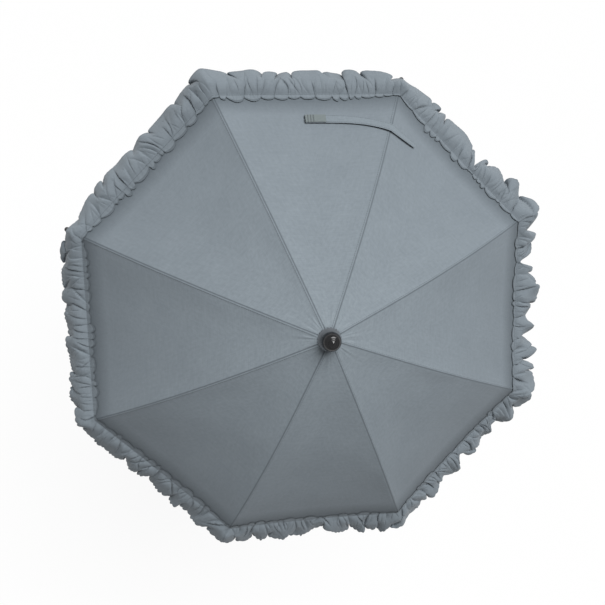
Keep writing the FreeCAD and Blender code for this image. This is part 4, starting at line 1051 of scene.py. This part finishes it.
dull_zinc = plated("dull_zinc", shade(146, 152, 158), shade(96, 101, 107), 0.5, EVERY_WAY, 0.00001)
dress(dull_zinc, "top_washer")
FINIAL_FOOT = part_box("finial")[0].z
FINIAL_PROFILE_MM = [(7.6, 0.0), (8.8, 0.25), (9.0, 0.9), (8.4, 1.6)]
BALL_RADIUS = 12.2
BALL_CUT = 9.6
BALL_FOOT = 2.2
BALL_ROWS = 33
BALL_MIDDLE = BALL_FOOT + BALL_CUT
ball_end = math.asin(BALL_CUT / BALL_RADIUS)
for angle in np.linspace(-ball_end, ball_end, BALL_ROWS):
    FINIAL_PROFILE_MM.append((BALL_RADIUS * math.cos(angle), BALL_MIDDLE + BALL_RADIUS * math.sin(angle)))
BUTTON_FOOT = BALL_MIDDLE + BALL_CUT
FINIAL_PROFILE_MM += [
    (6.2, BUTTON_FOOT + 0.05),
    (5.6, BUTTON_FOOT + 0.15),
    (5.4, BUTTON_FOOT + 0.5),
    (5.4, BUTTON_FOOT + 1.2),
    (5.2, BUTTON_FOOT + 1.5),
    (4.6, BUTTON_FOOT + 1.8),
    (4.1, BUTTON_FOOT + 1.85),
    (3.7, BUTTON_FOOT + 1.6),
    (3.2, BUTTON_FOOT + 1.75),
    (2.4, BUTTON_FOOT + 2.5),
    (1.2, BUTTON_FOOT + 3.05),
    (0.02, BUTTON_FOOT + 3.2),
]
FINIAL_SIDES = 96


def turned(name, profile, base, sides, material):
    """A piece turned on a lathe round the shaft, from its outline in millimetres."""
    outline = np.array(profile) * MILLI
    angle = 2 * math.pi * np.arange(sides) / sides
    points = np.stack(
        [
            outline[:, :1] * np.cos(angle),
            outline[:, :1] * np.sin(angle),
            base + outline[:, 1:] + 0 * angle,
        ],
        -1,
    )
    number = np.arange(points.shape[0] * sides).reshape(points.shape[:2])
    after = np.roll(number, -1, 1)
    faces = np.stack([number[:-1], after[:-1], after[1:], number[1:]], -1).reshape(-1, 4).tolist()
    faces.append(number[0, ::-1].tolist())
    faces.append(number[-1].tolist())
    mesh = bpy.data.meshes.new(name)
    mesh.from_pydata(points.reshape(-1, 3).tolist(), [], faces)
    mesh.polygons.foreach_set("use_smooth", np.ones(len(faces), bool))
    mesh.materials.append(material)
    piece = bpy.data.objects.new(name, mesh)
    bpy.context.scene.collection.objects.link(piece)
    return piece


gloss = moulded("gloss_black", shade(15, 15, 17), shade(26, 26, 29), 0.16, 0.0012, 0.000006)
ball = turned("finial_ball", FINIAL_PROFILE_MM, FINIAL_FOOT, FINIAL_SIDES, gloss)
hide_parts("finial")
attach(ball, "upper_shaft")

# Floor, light and camera: a pale floor under the clamp, an even white room and one broad soft lamp
# high on one side, seen from nearly overhead.

FLOOR_HALF = 6.0
FLOOR_HEIGHT = cad_box[0].z - MILLI
floor_mesh = bpy.data.meshes.new("floor")
corners = [(-1, -1), (1, -1), (1, 1), (-1, 1)]
floor_points = [(x * FLOOR_HALF, y * FLOOR_HALF, FLOOR_HEIGHT) for x, y in corners]
floor_mesh.from_pydata(floor_points, [], [(0, 1, 2, 3)])
floor = bpy.data.objects.new("floor", floor_mesh)
bpy.context.scene.collection.objects.link(floor)

MIRRORED = 0.4


def seen_directly(finish):
    """1 for what the camera sees itself or through glass, and less in a mirror."""
    camera = finish.node("ShaderNodeLightPath", output="Is Camera Ray")
    glossy = finish.node("ShaderNodeLightPath", output="Is Glossy Ray")
    through = finish.node("ShaderNodeLightPath", output="Is Transmission Ray")
    return finish.maths("MINIMUM", camera + through + glossy * MIRRORED, 1.0)


WHITE = (1.0, 1.0, 1.0, 1.0)
PALE = (0.9, 0.9, 0.9, 1.0)
GLOW_SHARE = 0.93
paper = Finish(bpy.data.materials.new("white_floor"))
matt = paper.node("ShaderNodeBsdfDiffuse", sockets={"Color": PALE})
glow = paper.node("ShaderNodeEmission", sockets={"Color": WHITE, "Strength": 1.0})
lit = paper.node("ShaderNodeMixShader", sockets={0: seen_directly(paper) * GLOW_SHARE, 1: matt, 2: glow})
paper.node("ShaderNodeOutputMaterial", sockets={"Surface": lit})
floor_mesh.materials.append(paper.owner)

ROOM_LIGHT = 0.2
LAMP_LIGHT = 3.6
LAMP_SOFTNESS = math.radians(40)
LAMP_AZIMUTH = math.radians(66)
LAMP_HEIGHT = math.radians(50)
room = Finish(bpy.data.worlds.new("room"))
brightness = seen_directly(room) * (1 - ROOM_LIGHT) + ROOM_LIGHT
air = room.node("ShaderNodeBackground", sockets={"Color": WHITE, "Strength": brightness})
room.node("ShaderNodeOutputWorld", sockets={"Surface": air})
bpy.context.scene.world = room.owner

lamp_data = bpy.data.lights.new("soft_lamp", "SUN")
lamp_data.energy = LAMP_LIGHT
lamp_data.angle = LAMP_SOFTNESS
lamp = bpy.data.objects.new("soft_lamp", lamp_data)
towards_lamp = Vector(
    (
        math.cos(LAMP_AZIMUTH) * math.cos(LAMP_HEIGHT),
        math.sin(LAMP_AZIMUTH) * math.cos(LAMP_HEIGHT),
        math.sin(LAMP_HEIGHT),
    )
)
lamp.rotation_mode = "QUATERNION"
lamp.rotation_quaternion = towards_lamp.to_track_quat("Z", "Y")
bpy.context.scene.collection.objects.link(lamp)

CAMERA_PLACE = Vector((-0.1808, 0.2260, 1.6274))
CAMERA_LOOK = Vector((0.1563, -0.1882, -0.9696))
CAMERA_UP = Vector((0.0197, 1.0, 0.0))
LENS_PIXELS = 801
PICTURE_PIXELS = 605
camera_data = bpy.data.cameras.new("camera")
camera_data.sensor_width = 36
camera_data.lens = camera_data.sensor_width * LENS_PIXELS / PICTURE_PIXELS
camera = bpy.data.objects.new("camera", camera_data)
look = CAMERA_LOOK.normalized()
right = look.cross(CAMERA_UP).normalized()
upright = right.cross(look)
turn = Matrix((right, upright, -look)).transposed()
camera.matrix_world = Matrix.LocRotScale(CAMERA_PLACE, turn.to_quaternion(), None)
bpy.context.scene.collection.objects.link(camera)
bpy.context.scene.camera = camera
bpy.context.scene.view_settings.view_transform = "Standard"
